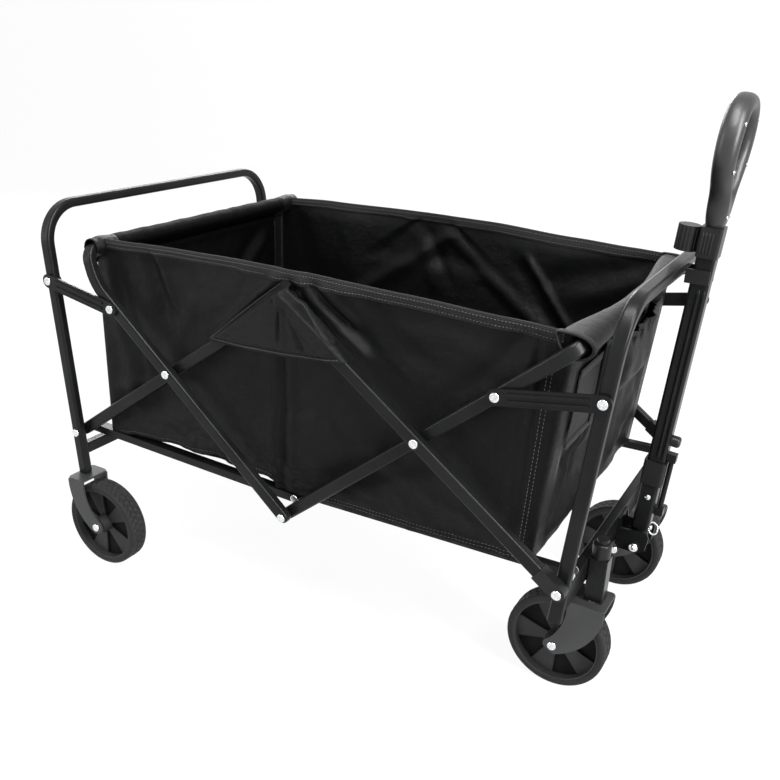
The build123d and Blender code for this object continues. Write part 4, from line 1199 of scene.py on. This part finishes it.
def flap_tape(which):
    """The turned edge along the flap's slants and foot, with its stitches."""
    side = SIDES[which][0]
    slant = [0.05 + 0.95 * i / 40 for i in range(41)]
    edge = [(-1.0, v) for v in slant] + [(i / 25 - 1, 1.0) for i in range(1, 50)]
    edge += [(1.0, v) for v in reversed(slant)]
    out = sideways(side * 1.1)
    lines, spots = [], []
    for u, v in edge:
        rim = flap_point(side, u, v)
        inner = flap_point(side, u * 0.935, v - 0.055 if v > 0.94 else v)
        lines.append([rim - out, rim + out * 0.3, rim.lerp(inner, 0.5) + out, inner + out])
        spots.append((rim.lerp(inner, 0.7) + out * 1.5, Vector((0, side, 0))))
    tape = sheet_grid(f"{which}_flap_edge", lines, patch_cloth, thickness=0.7, flip=which == "far")
    sewn = stitches(f"{which}_flap_stitches", [seam(spots, 0.0)], 4.2, 2.8, 0.36)
    return folds_up(tape), folds_up(sewn)


flaps = {which: (flap(which), *flap_tape(which)) for which in SIDES}
print("flaps:", [len(p.data.polygons) for p in flaps["near"]])

# %% [markdown]
# ## Mesh panel and pocket on the front wall
#
# A flat mesh panel is sewn across the front wall, with a tape along its top and
# its foot. It is a little slack, so it stands off the wall in the middle.

# %% Mesh panel
PANEL_HALF, PANEL_LOW, PANEL_TOP = 189.0, 372.0, 468.0
PANEL_ROWS, PANEL_COLUMNS = 25, 81
PANEL_LIFT, TAPE_FACE, TAPE_HALF = 1.9, 3.4, 5


def panel_row(share):
    z = mixed(PANEL_LOW, PANEL_TOP, share)
    line = []
    for c in range(PANEL_COLUMNS):
        y = mixed(-PANEL_HALF, PANEL_HALF, c / (PANEL_COLUMNS - 1))
        slack = math.sin(math.pi * share) * (1.6 + 0.8 * furrows(y, z, 30, 8.8))
        line.append(at(front_x(z) + PANEL_LIFT + slack, y, z))
    return line


def panel_tape(name, z):
    low, high = z - TAPE_HALF, z + TAPE_HALF
    section = ((low, PANEL_LIFT), (low, TAPE_FACE), (high, TAPE_FACE), (high, PANEL_LIFT))
    lines = [
        [at(front_x(height) + out, y, height) for height, out in section]
        for y in (mixed(-PANEL_HALF, PANEL_HALF, c / 60) for c in range(61))
    ]
    return rides(sheet_grid(name, lines, tape_cloth, thickness=0.6), "front_end")


panel_lines = [panel_row(r / (PANEL_ROWS - 1)) for r in range(PANEL_ROWS)]
panel = rides(sheet_grid("front_mesh_panel", panel_lines, mesh_cloth, thickness=0.8), "front_end")
panel_tapes = [panel_tape("panel_top_tape", PANEL_TOP), panel_tape("panel_low_tape", PANEL_LOW)]
print("mesh panel:", len(panel.data.polygons), "faces")

# %% [markdown]
# Over the panel's middle sits a small cloth pocket for keys. Its top edge is
# gathered, so it stands open in a soft wave. The pocket is a sheet that lies
# close to the wall at its seams and stands off it in a bulge under the
# gathered edge.

# %% Pocket
POCKET_HALF, POCKET_LOW, POCKET_TOP, POCKET_DEPTH = 104.0, 374.0, 490.0, 25.0
POCKET_STANDS_OFF, POCKET_FURTHEST = 4.0, 410.0


def pocket_spot(share_y, share_z):
    """A point of the pocket: share_y runs -1..1 and share_z 0..1 upwards."""
    y, z = POCKET_HALF * share_y, mixed(POCKET_LOW, POCKET_TOP, share_z)
    sides = 1 - abs(share_y) ** 5
    rise = sides * eased(share_z, 0.0, 0.45) * (1 - 0.30 * eased(share_z, 0.55, 1.0))
    gather = sides * eased(share_z, 0.75, 1.0)
    out = POCKET_STANDS_OFF + rise * (POCKET_DEPTH + 2.4 * furrows(y, z, 34, 3.9))
    out += gather * (2.6 * math.sin(y * 0.16) + 1.4 * math.sin(y * 0.37 + 1.0))
    z += gather * (2.2 * math.sin(y * 0.09 + 0.6) - 4.0 * (1 - share_y * share_y))
    return at(min(front_x(z) + out, POCKET_FURTHEST), y, z)


pocket_lines = [[pocket_spot(c / 35 - 1, r / 40) for c in range(71)] for r in range(41)]
pocket = sheet_grid("front_pocket_cloth", pocket_lines, end_cloth, thickness=1.2)
rides(pocket, "front_end", "front_pocket")
EDGE_FROM, EDGE_LIFT = 0.93, Vector((1.1 * MM, 0, 0))
edge_lines = [
    [pocket_spot(c / 50 - 1, mixed(EDGE_FROM, 1.0, r / 3)) + EDGE_LIFT for c in range(101)]
    for r in range(4)
]
pocket_edge = sheet_grid("front_pocket_edge", edge_lines, tape_cloth, thickness=0.8)
rides(pocket_edge, "front_end")
print("pocket:", len(pocket.data.polygons), "faces")

# %% [markdown]
# ## Seams of the side walls
#
# The panels are joined with a double row of thread near each front corner, and
# the lower edge is turned up and sewn with one row at the rear and two at the
# front.

# %% Wall seams
SEAM_LIFT = 0.9
SEAM_LOW_Z, SEAM_HIGH_Z, SEAM_LEAN = 232, 498, 15.0


def seam_up(which, start_x):
    """A row of stitches up a side wall, along the leaning front corner."""
    low, spots = SIDES[which][2], []
    for i in range(60):
        rise = i / 59
        z = mixed(SEAM_LOW_Z, SEAM_HIGH_Z, rise)
        rear = REAR_X + REAR_CORNER
        share = (start_x + SEAM_LEAN * rise - rear) / (front_x(z) - CORNER - rear)
        height = (z - between(start_x, low)) / wall_height(which, start_x)
        spots.append(wall_point(which, "side", share, height))
    return seam(spots, SEAM_LIFT)


def seam_along(which, start, end, rise):
    """A row of stitches a given height above a side wall's lower edge."""
    spots = []
    for i in range(160):
        share = mixed(start, end, i / 159)
        height = rise / wall_height(which, wall_path("side", share, LOW_Z)[0])
        spots.append(wall_point(which, "side", share, height))
    return seam(spots, SEAM_LIFT)


for which in SIDES:
    seams = [seam_up(which, x) for x in (338.0, 343.5)]
    seams += [seam_along(which, 0.55, 0.985, rise) for rise in (7.0, 12.0)]
    seams += [seam_along(which, 0.02, 0.45, 6.0)]
    folds_up(stitches(f"{which}_wall_stitches", seams, 5.2, 3.4, 0.36))

# %% [markdown]
# ### The hem's own stitches
#
# The mouth of the front hem is edged with coarse tape and two rows of thread,
# which is what catches the eye at the corner. The tape follows the sleeve's
# wide ring, smoothed by a curve through its points.


# %% Hem edges
def curve_through(ring, steps=4):
    """A closed curve through the points of a ring, with more points between them."""
    made = []
    for i in range(len(ring)):
        a, b, c, d = (ring[(i + k) % len(ring)] for k in (-1, 0, 1, 2))
        for step in range(steps):
            t = step / steps
            square, cube = 2 * a - 5 * b + 4 * c - d, 3 * b - a - 3 * c + d
            made.append(0.5 * (2 * b + (c - a) * t + square * t * t + cube * t * t * t))
    return made


def hem_edge(which):
    """Tape round the mouth of the front sleeve, with its two rows of thread."""
    side = SIDES[which][0]
    ring = curve_through([at(x, side * (HEM_HALF_Y + 0.4), z) for x, z in WIDE_RING])
    middle = sum(ring, Vector()) / len(ring)
    spots = [(p, (p - middle).normalized()) for p in ring + ring[:1]]
    lines = []
    for point, normal in spots:
        out = normal * (1.3 * MM)
        rim = point + out * 0.2 + sideways(side * 0.8)
        lines.append([point - out * 0.6, rim, point + out, point + out + sideways(-side * 9.0)])
    tape = sheet_grid(f"{which}_hem_tape", lines, tape_cloth, thickness=0.7)
    rows_back = [[(p + sideways(-side * back), out) for p, out in spots] for back in (2.5, 6.5)]
    seams = [seam(row, 1.7) for row in rows_back]
    sewn = stitches(f"{which}_hem_stitches", seams, 4.0, 2.6, 0.4)
    return [draws_in(piece, "front_end") for piece in (tape, sewn)]


hem_edges = [piece for which in SIDES for piece in hem_edge(which)]
print("hem edges:", [piece.name for piece in hem_edges])

# %% [markdown]
# ## The cloth's pieces
#
# Tapes, stitches and tacked pieces go along with their sheet.

# %% The cloth's pieces
print("the cloth's pieces ride with their bodies")

# %% [markdown]
# ## Tyres
#
# A foam tyre is moulded in one piece with its tread. Seen closely the tread is
# rows of slanted blocks that mirror each other, so the grooves make a zigzag.
# The ring is a grid of points in angle and across, and the tread function
# lowers the points that lie in a groove.

# %% Tread
TYRE_RADIUS, TYRE_BORE, TYRE_HALF = 70.0, 60.5, 15.75
TREAD_HALF, TREAD_EDGE, TREAD_COLUMNS = 12.6, 13.2, 22
TREAD_BLOCKS, GROOVE_DEPTH, AROUND = 40, 1.5, 480
SIDEWALL = (
    (TYRE_BORE, -TYRE_HALF + 0.9), (62.0, -TYRE_HALF), (66.2, -TYRE_HALF),
    (68.3, -TYRE_HALF + 0.7), (69.5, -TYRE_HALF + 2.0),
)


def tread_depth(turn, y):
    """How deep the tread is cut at an angle in turns and a place across."""
    row = (y + TREAD_HALF) / (2 * TREAD_HALF) * 3
    off = abs(row - 1.5)
    slant = 0.55 * off if off > 0.5 else 0.55 * (1 - off)
    place = (turn * TREAD_BLOCKS + slant + (0.5 if 1 < row < 2 else 0.0)) % 1.0
    cross = eased(0.17 - abs(place - 0.5), 0, 0.09)
    cross *= 1 - eased(abs(y), TREAD_HALF, TREAD_HALF + 1.4)
    zigzag = 0.9 * math.sin(turn * TREAD_BLOCKS * 2 * math.pi)
    channel = eased(1.3 - abs(abs(y) - TREAD_HALF / 3 + zigzag), 0, 0.8)
    return GROOVE_DEPTH * max(cross, 0.75 * channel)


print("the tread is cut", tread_depth(0.0, TREAD_HALF / 3), "mm deep in a groove")


# %% Tyres
def tyre_section(turn):
    """(radius, place across) round a tyre's section: sidewall, tread, sidewall."""
    section = list(SIDEWALL)
    for i in range(TREAD_COLUMNS + 1):
        y = mixed(-TREAD_EDGE, TREAD_EDGE, i / TREAD_COLUMNS)
        shoulder = 0.25 * eased(abs(y), 9, TREAD_EDGE)
        section.append((TYRE_RADIUS - (tread_depth(turn, y) + shoulder), y))
    return section + [(radius, -y) for radius, y in reversed(SIDEWALL)]


def tyre(corner):
    low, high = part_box(f"{corner}_tyre")
    hub = (low + high) / 2
    points = []
    for step in range(AROUND):
        turn = step / AROUND
        x, z = math.cos(turn * 2 * math.pi), math.sin(turn * 2 * math.pi)
        section = tyre_section(turn)
        centre = Vector((hub.x, hub.y, TYRE_RADIUS * MM))
        points += [centre + Vector((x * radius, y, z * radius)) * MM for radius, y in section]
    faces = grid_faces(AROUND, len(section), ring=True, loop=True)
    piece = mesh_piece(f"{corner}_tread_tyre", points, faces, tyre_rubber)
    return rides(piece, f"{corner}_wheel_body", f"{corner}_tyre")


for corner in ("rear_right", "rear_left", "front_right", "front_left"):
    made = tyre(corner)
    print(made.name, len(made.data.polygons), "faces")

# %% [markdown]
# ## The grip
#
# The grip is a hollow loop of soft-touch plastic, moulded in two shells. A
# loop like that is a family of cross-sections round its hole. Each section is
# a rounded shape between a point of the hole and the matching point of the
# outline, so the bar is plump everywhere and the neck widens without a break.

# %% The handle's own directions
HANDLE_LEAN = math.radians(3.8)
HANDLE_PIVOT = (436.0, 167.0)
handle_up = Vector((math.sin(HANDLE_LEAN), 0, math.cos(HANDLE_LEAN)))
handle_front = Vector((math.cos(HANDLE_LEAN), 0, -math.sin(HANDLE_LEAN)))


def handle_point(across, along, ahead):
    """A place on the handle: across it, up along it, and towards its front."""
    x, z = HANDLE_PIVOT
    return at(x, across, z) + (handle_up * along + handle_front * ahead) * MM


print("the handle turns about", [round(v, 3) for v in handle_point(0, 0, 0)])

# %% Grip
GRIP_START, GRIP_DEPTH, HOLE_MIDDLE = 458.3, 13.6, 94.0
GRIP_STEPS, GRIP_SECTION = 144, 28
GRIP_OUTLINE = (
    (0, 104.0), (7.5, 104.0), (9.2, 94.0), (11.5, 82.0), (15, 71.0), (20, 63.5), (27, 58.5),
    (35, 56.6), (45, 56.0), (58, 56.8), (74, 58.2), (92, 59.4), (108, 60.6), (124, 61.8),
    (140, 63.0), (154, 63.8), (168, 64.0), (180, 64.0),
)
HOLE_OUTLINE = (
    (0, 50.0), (12, 48.0), (24, 43.5), (38, 38.5), (54, 35.6), (72, 34.8), (90, 35.2),
    (108, 36.6), (126, 39.0), (144, 41.4), (160, 42.4), (180, 42.6),
)


def outline_at(degrees, outline):
    """An outline's distance from the hole's middle, averaged over five degrees either way."""
    near = [abs(degrees + step) for step in (-5, -2.5, 0, 2.5, 5)]
    return sum(between(360 - one if one > 180 else one, outline) for one in near) / len(near)


def plump(value, power):
    """A sine or cosine that is fuller than a circle's."""
    return math.copysign(abs(value) ** power, value)


def grip_section(degrees):
    """The section of the loop at an angle, from the neck and up round the hole."""
    folded, hand = (degrees, 1) if degrees <= 180 else (360 - degrees, -1)
    angle = math.radians(folded)
    inner, outer = outline_at(folded, HOLE_OUTLINE), outline_at(folded, GRIP_OUTLINE)
    depth = GRIP_DEPTH * (1.0 + 0.06 * eased(folded, 60, 130)) * 0.96
    line = []
    for k in range(GRIP_SECTION):
        turn = 2 * math.pi * k / GRIP_SECTION
        reach = mixed(inner, outer, (plump(math.cos(turn), 0.88) + 1) / 2)
        across, along = hand * math.sin(angle) * reach, HOLE_MIDDLE - math.cos(angle) * reach
        line.append(handle_point(across, GRIP_START + along, plump(math.sin(turn), 0.84) * depth))
    return line


grip_points = [p for s in range(GRIP_STEPS) for p in grip_section(360 * s / GRIP_STEPS)]
grip_faces = grid_faces(GRIP_STEPS, GRIP_SECTION, ring=True, loop=True)
grip_piece = rounded(mesh_piece("grip_loop", grip_points, grip_faces, grip_plastic))
rides(grip_piece, "handle_upper", "handle_grip")
print("grip:", len(grip_faces), "faces before smoothing")

# %% [markdown]
# ### Small metal parts
#
# Screws, rivets and nuts are lathed: a profile of a few points is turned about
# an axis. A second helper bends a wire into a ring for the release pin's pull.


# %% Turned parts
def circle(axis, steps):
    """Outward directions all round an axis."""
    first = axis.orthogonal().normalized()
    second = axis.cross(first)
    angles = (2 * math.pi * s / steps for s in range(steps))
    return [first * math.cos(angle) + second * math.sin(angle) for angle in angles]


def turned(name, centre, axis, profile, body, steps=24):
    """A lathed part: profile is pairs of (radius, height) in millimetres."""
    outs, points = circle(axis, steps), []
    for radius, height in profile:
        points += [centre + (axis * height + out * radius) * MM for out in outs]
    faces = grid_faces(len(profile), steps, ring=True)
    last = (len(profile) - 1) * steps
    faces += [tuple(reversed(range(steps))), tuple(range(last, last + steps))]
    return rides(mesh_piece(name, points, faces, plating), body)


SCREW = ((2.6, -0.8), (2.6, 0.5), (2.2, 0.9), (1.3, 1.0), (1.1, 0.4), (0.2, 0.35))
DOME = ((4.2, -0.6), (4.2, 0.4), (3.7, 1.4), (2.6, 2.1), (1.2, 2.4), (0.2, 2.45))
NUT = ((6.4, 0.0), (6.4, 3.4), (5.4, 4.2), (3.6, 4.3), (3.4, 6.4), (2.6, 7.0), (0.2, 7.1))
PIN = ((3.4, -2.0), (3.4, 2.5), (2.9, 3.4), (0.4, 3.6))
GRIP_SCREWS = (
    (-45.0, 126.0), (-44.0, 72.0), (-8.0, 14.0), (8.0, 14.0), (44.0, 72.0), (45.0, 126.0),
)
HANDS = (("right", -1), ("left", 1))
STEM_HALF, RIVET_UP, BRACKET_HALF = 12.0, 78.0, 20.2
for number, (across, along) in enumerate(GRIP_SCREWS, 1):
    spot = handle_point(across, GRIP_START + along, GRIP_DEPTH - 0.7)
    turned(f"grip_screw_{number}", spot, handle_front, SCREW, "handle_upper", 16)
for hand, side in HANDS:
    spot = handle_point(side * STEM_HALF, RIVET_UP, 1.0)
    turned(f"handle_foot_rivet_{hand}", spot, Vector((0, side, 0)), DOME, "handle")
for hand, side in HANDS:
    spot = handle_point(side * BRACKET_HALF, 0.0, 0.0)
    turned(f"bracket_nut_{hand}", spot, Vector((0, side, 0)), NUT, "front_end", 18)
print("screws, rivets and nuts are on")


# %% Pull ring
def ring(name, centre, axis, radius, wire, body, steps=36, section=10):
    """A round wire bent into a ring about an axis."""
    points = []
    for out in circle(axis, steps):
        for k in range(section):
            turn = 2 * math.pi * k / section
            reach = out * (radius + wire * math.cos(turn))
            points.append(centre + (reach + axis * wire * math.sin(turn)) * MM)
    faces = grid_faces(steps, section, ring=True, loop=True)
    return rides(mesh_piece(name, points, faces, plating), body)


RING_RADIUS, RING_WIRE = 8.5, 1.2
RELEASE_UP, PIN_AHEAD, RING_AHEAD = 27.0, 11.5, 16.5
ring_axis = Vector((0.75, -0.45, 0.55)).normalized()
ring_spot, pin_spot = (handle_point(0.0, RELEASE_UP, ahead) for ahead in (RING_AHEAD, PIN_AHEAD))
ring("release_pull_ring", ring_spot, ring_axis, RING_RADIUS, RING_WIRE, "handle")
turned("release_pin", pin_spot, handle_front, PIN, "handle", 20)
print("the pull ring hangs at", [round(v, 3) for v in ring_spot])

# %% [markdown]
# ### Ridges of the stem and the collar
#
# The stem is an extruded tube with two long ridges on each side that stiffen
# it, and the moulded collar has short ribs for the fingers. Both are half-round
# beads whose ends taper away.

# %% Ridges
TAPER = ((0.0, 0.25), (2.0, 0.75), (4.5, 0.97))
ARC = [math.pi * k / 8 for k in range(9)]


def ridges(name, beads, out, bottom, top, material, body):
    """Half-round beads up both sides of the handle; each bead is (ahead, radius)."""
    heights = [(bottom + rise, size) for rise, size in TAPER]
    heights += [(mixed(bottom + 8, top - 8, i / 12), 1.0) for i in range(13)]
    heights += [(top - rise, size) for rise, size in reversed(TAPER)]
    points, faces = [], []
    for side, (ahead, radius) in ((side, bead) for side in (-1, 1) for bead in beads):
        for a, b, c, d in grid_faces(len(heights), len(ARC)):
            face = (a, b, c, d) if side > 0 else (d, c, b, a)
            faces.append(tuple(len(points) + k for k in face))
        for height, size in heights:
            lift = radius * size
            for angle in ARC:
                across = out + lift * 0.75 * math.sin(angle)
                points.append(handle_point(side * across, height, ahead + lift * math.cos(angle)))
    return rides(mesh_piece(name, points, faces, material), body)


STEM_BEADS = ((1.5, 2.6), (8.2, 2.2))
COLLAR_BEADS = ((-9.0, 1.3), (-5.0, 1.3), (-1.0, 1.3), (3.0, 1.3))
ridges("stem_ridges", STEM_BEADS, 11.9, 140.0, 379.5, coat, "handle")
ridges("collar_ribs", COLLAR_BEADS, 15.9, 424.0, 452.0, cap_plastic, "handle_upper")

# %% [markdown]
# ## Floor, backdrop and lights
#
# The wagon stands on a plain white floor that rises into a backdrop. To the
# camera, to reflections and through holes both are pure white, while the part
# of the floor under the wagon keeps a soft shadow.

# %% White for the studio
GLOW = 1.05
SHADOW_SHARE = 0.12


def seen_rays(finish):
    """1 for what the camera sees, straight, mirrored or through a gap, else 0."""
    camera, mirror, through = (
        finish.node("ShaderNodeLightPath", out=f"Is {kind} Ray")
        for kind in ("Camera", "Glossy", "Transmission")
    )
    return (camera + mirror + through) > 0.5


def studio_white():
    """White to the eye, with an ordinary matte surface for the light itself."""
    looks = {"Base_Color": (0.82, 0.82, 0.82, 1), "Roughness": 0.9, "Specular_IOR_Level": 0.1}
    finish = Finish("studio_white", **looks)
    colour = {"Color": (1, 1, 1, 1), "Strength": GLOW}
    glow = finish.node("ShaderNodeEmission", None, colour, "Emission")
    matte = Wire(finish, finish.shader.outputs["BSDF"])
    share = seen_rays(finish) * (1 - SHADOW_SHARE)
    both = finish.node("ShaderNodeMixShader", None, {0: share, 1: matte, 2: glow}, "Shader")
    finish.join(both, finish.tree.nodes["Material Output"].inputs["Surface"])
    return finish.owner


print("the floor glows at", GLOW)

# %% Floor and backdrop
FLOOR_NEAR_Y, CURVE_Y, CURVE_RADIUS, BACKDROP_RISE = -4.0, 2.4, 0.8, 3.0
FLOOR_SHARE, CURVE_SHARE = 0.6, 0.15
FLOOR_DROP = 0.0004


def floor_section(share):
    """y and z along the sheet: the floor, a quarter turn, and the backdrop."""
    if share < FLOOR_SHARE:
        return mixed(FLOOR_NEAR_Y, CURVE_Y, share / FLOOR_SHARE), 0.0
    turn = min(1.0, (share - FLOOR_SHARE) / CURVE_SHARE) * math.pi / 2
    straight = max(0.0, share - FLOOR_SHARE - CURVE_SHARE) / 0.25 * BACKDROP_RISE
    return (
        CURVE_Y + CURVE_RADIUS * math.sin(turn),
        CURVE_RADIUS - CURVE_RADIUS * math.cos(turn) + straight,
    )


sections = [floor_section(r / 40) for r in range(41)]
floor_points = [Vector((x, y, z - FLOOR_DROP)) for y, z in sections for x in (-5.0, -1.0, 1.0, 5.0)]
mesh_piece("studio_floor", floor_points, grid_faces(41, 4), studio_white())
print("floor and backdrop:", len(floor_points), "points")

# %% [markdown]
# ### Lamps
#
# Four soft strips light the wagon: one overhead, a strong one at the front
# right that draws the long highlights on the tubes, a weak one at the rear
# right, and one behind it that edges the far side. The room's own light is a
# dim grey, which the camera and reflections see as white.

# %% Lamps
AIM = Vector((mid_plane, 0.0, 0.35))
LAMPS = (
    ("key", (0.5, -0.9, 2.7), (0.35, 1.6), 64),
    ("side_strip", (2.2, -0.8, 1.6), (0.25, 2.4), 115),
    ("left_strip", (-1.9, -1.9, 1.3), (0.15, 1.8), 22),
    ("rear_strip", (-1.7, 2.3, 1.75), (2.6, 0.3), 60),
)
for name, place, size, watts in LAMPS:
    data = bpy.data.lights.new(name, "AREA")
    data.shape, data.size, data.size_y, data.energy = "RECTANGLE", *size, watts
    strip = bpy.data.objects.new(name, data)
    strip.location = place
    strip.rotation_euler = (AIM - Vector(place)).to_track_quat("-Z", "Y").to_euler()
    strip.visible_camera = False
    bpy.context.scene.collection.objects.link(strip)

room = Finish("soft_room", bpy.data.worlds, "Background", Strength=1.0)
ROOM_GREY = (0.31, 0.31, 0.32, 1)
bpy.context.scene.world = room.paint(Color=room.mix(seen_rays(room), ROOM_GREY, (1, 1, 1, 1)))
bpy.context.scene.view_settings.view_transform = "Standard"
print("lamps:", [lamp[0] for lamp in LAMPS])

# %% [markdown]
# ### Camera
#
# The camera stands where a person would, a little over the wagon's height and
# to its front right. The lens is near that of the eye, and the horizon leans
# by two degrees.

# %% Camera
CAMERA_PLACE = (652.6, -1140.2, 831.5)
CAMERA_TURN, CAMERA_DIP, CAMERA_ROLL = 29.03, 22.07, 2.27
LENS = 40.83

turn, dip, roll = (math.radians(a) for a in (CAMERA_TURN, CAMERA_DIP, CAMERA_ROLL))
level = Vector((-math.sin(turn), math.cos(turn), 0.0)) * math.cos(dip)
ahead = level - Vector((0, 0, math.sin(dip)))
flat_right = Vector((math.cos(turn), math.sin(turn), 0.0))
flat_up = flat_right.cross(ahead)
right = flat_right * math.cos(roll) + flat_up * math.sin(roll)
up = flat_up * math.cos(roll) - flat_right * math.sin(roll)
pose = Matrix((right, up, -ahead)).transposed().to_4x4()
pose.translation = at(*CAMERA_PLACE)

camera_data = bpy.data.cameras.new("camera")
camera_data.lens, camera_data.sensor_width, camera_data.clip_end = LENS, 36.0, 50.0
camera = bpy.data.objects.new("camera", camera_data)
camera.matrix_world = pose
bpy.context.scene.collection.objects.link(camera)
bpy.context.scene.camera = camera
print("camera at", [round(v, 3) for v in camera.location])
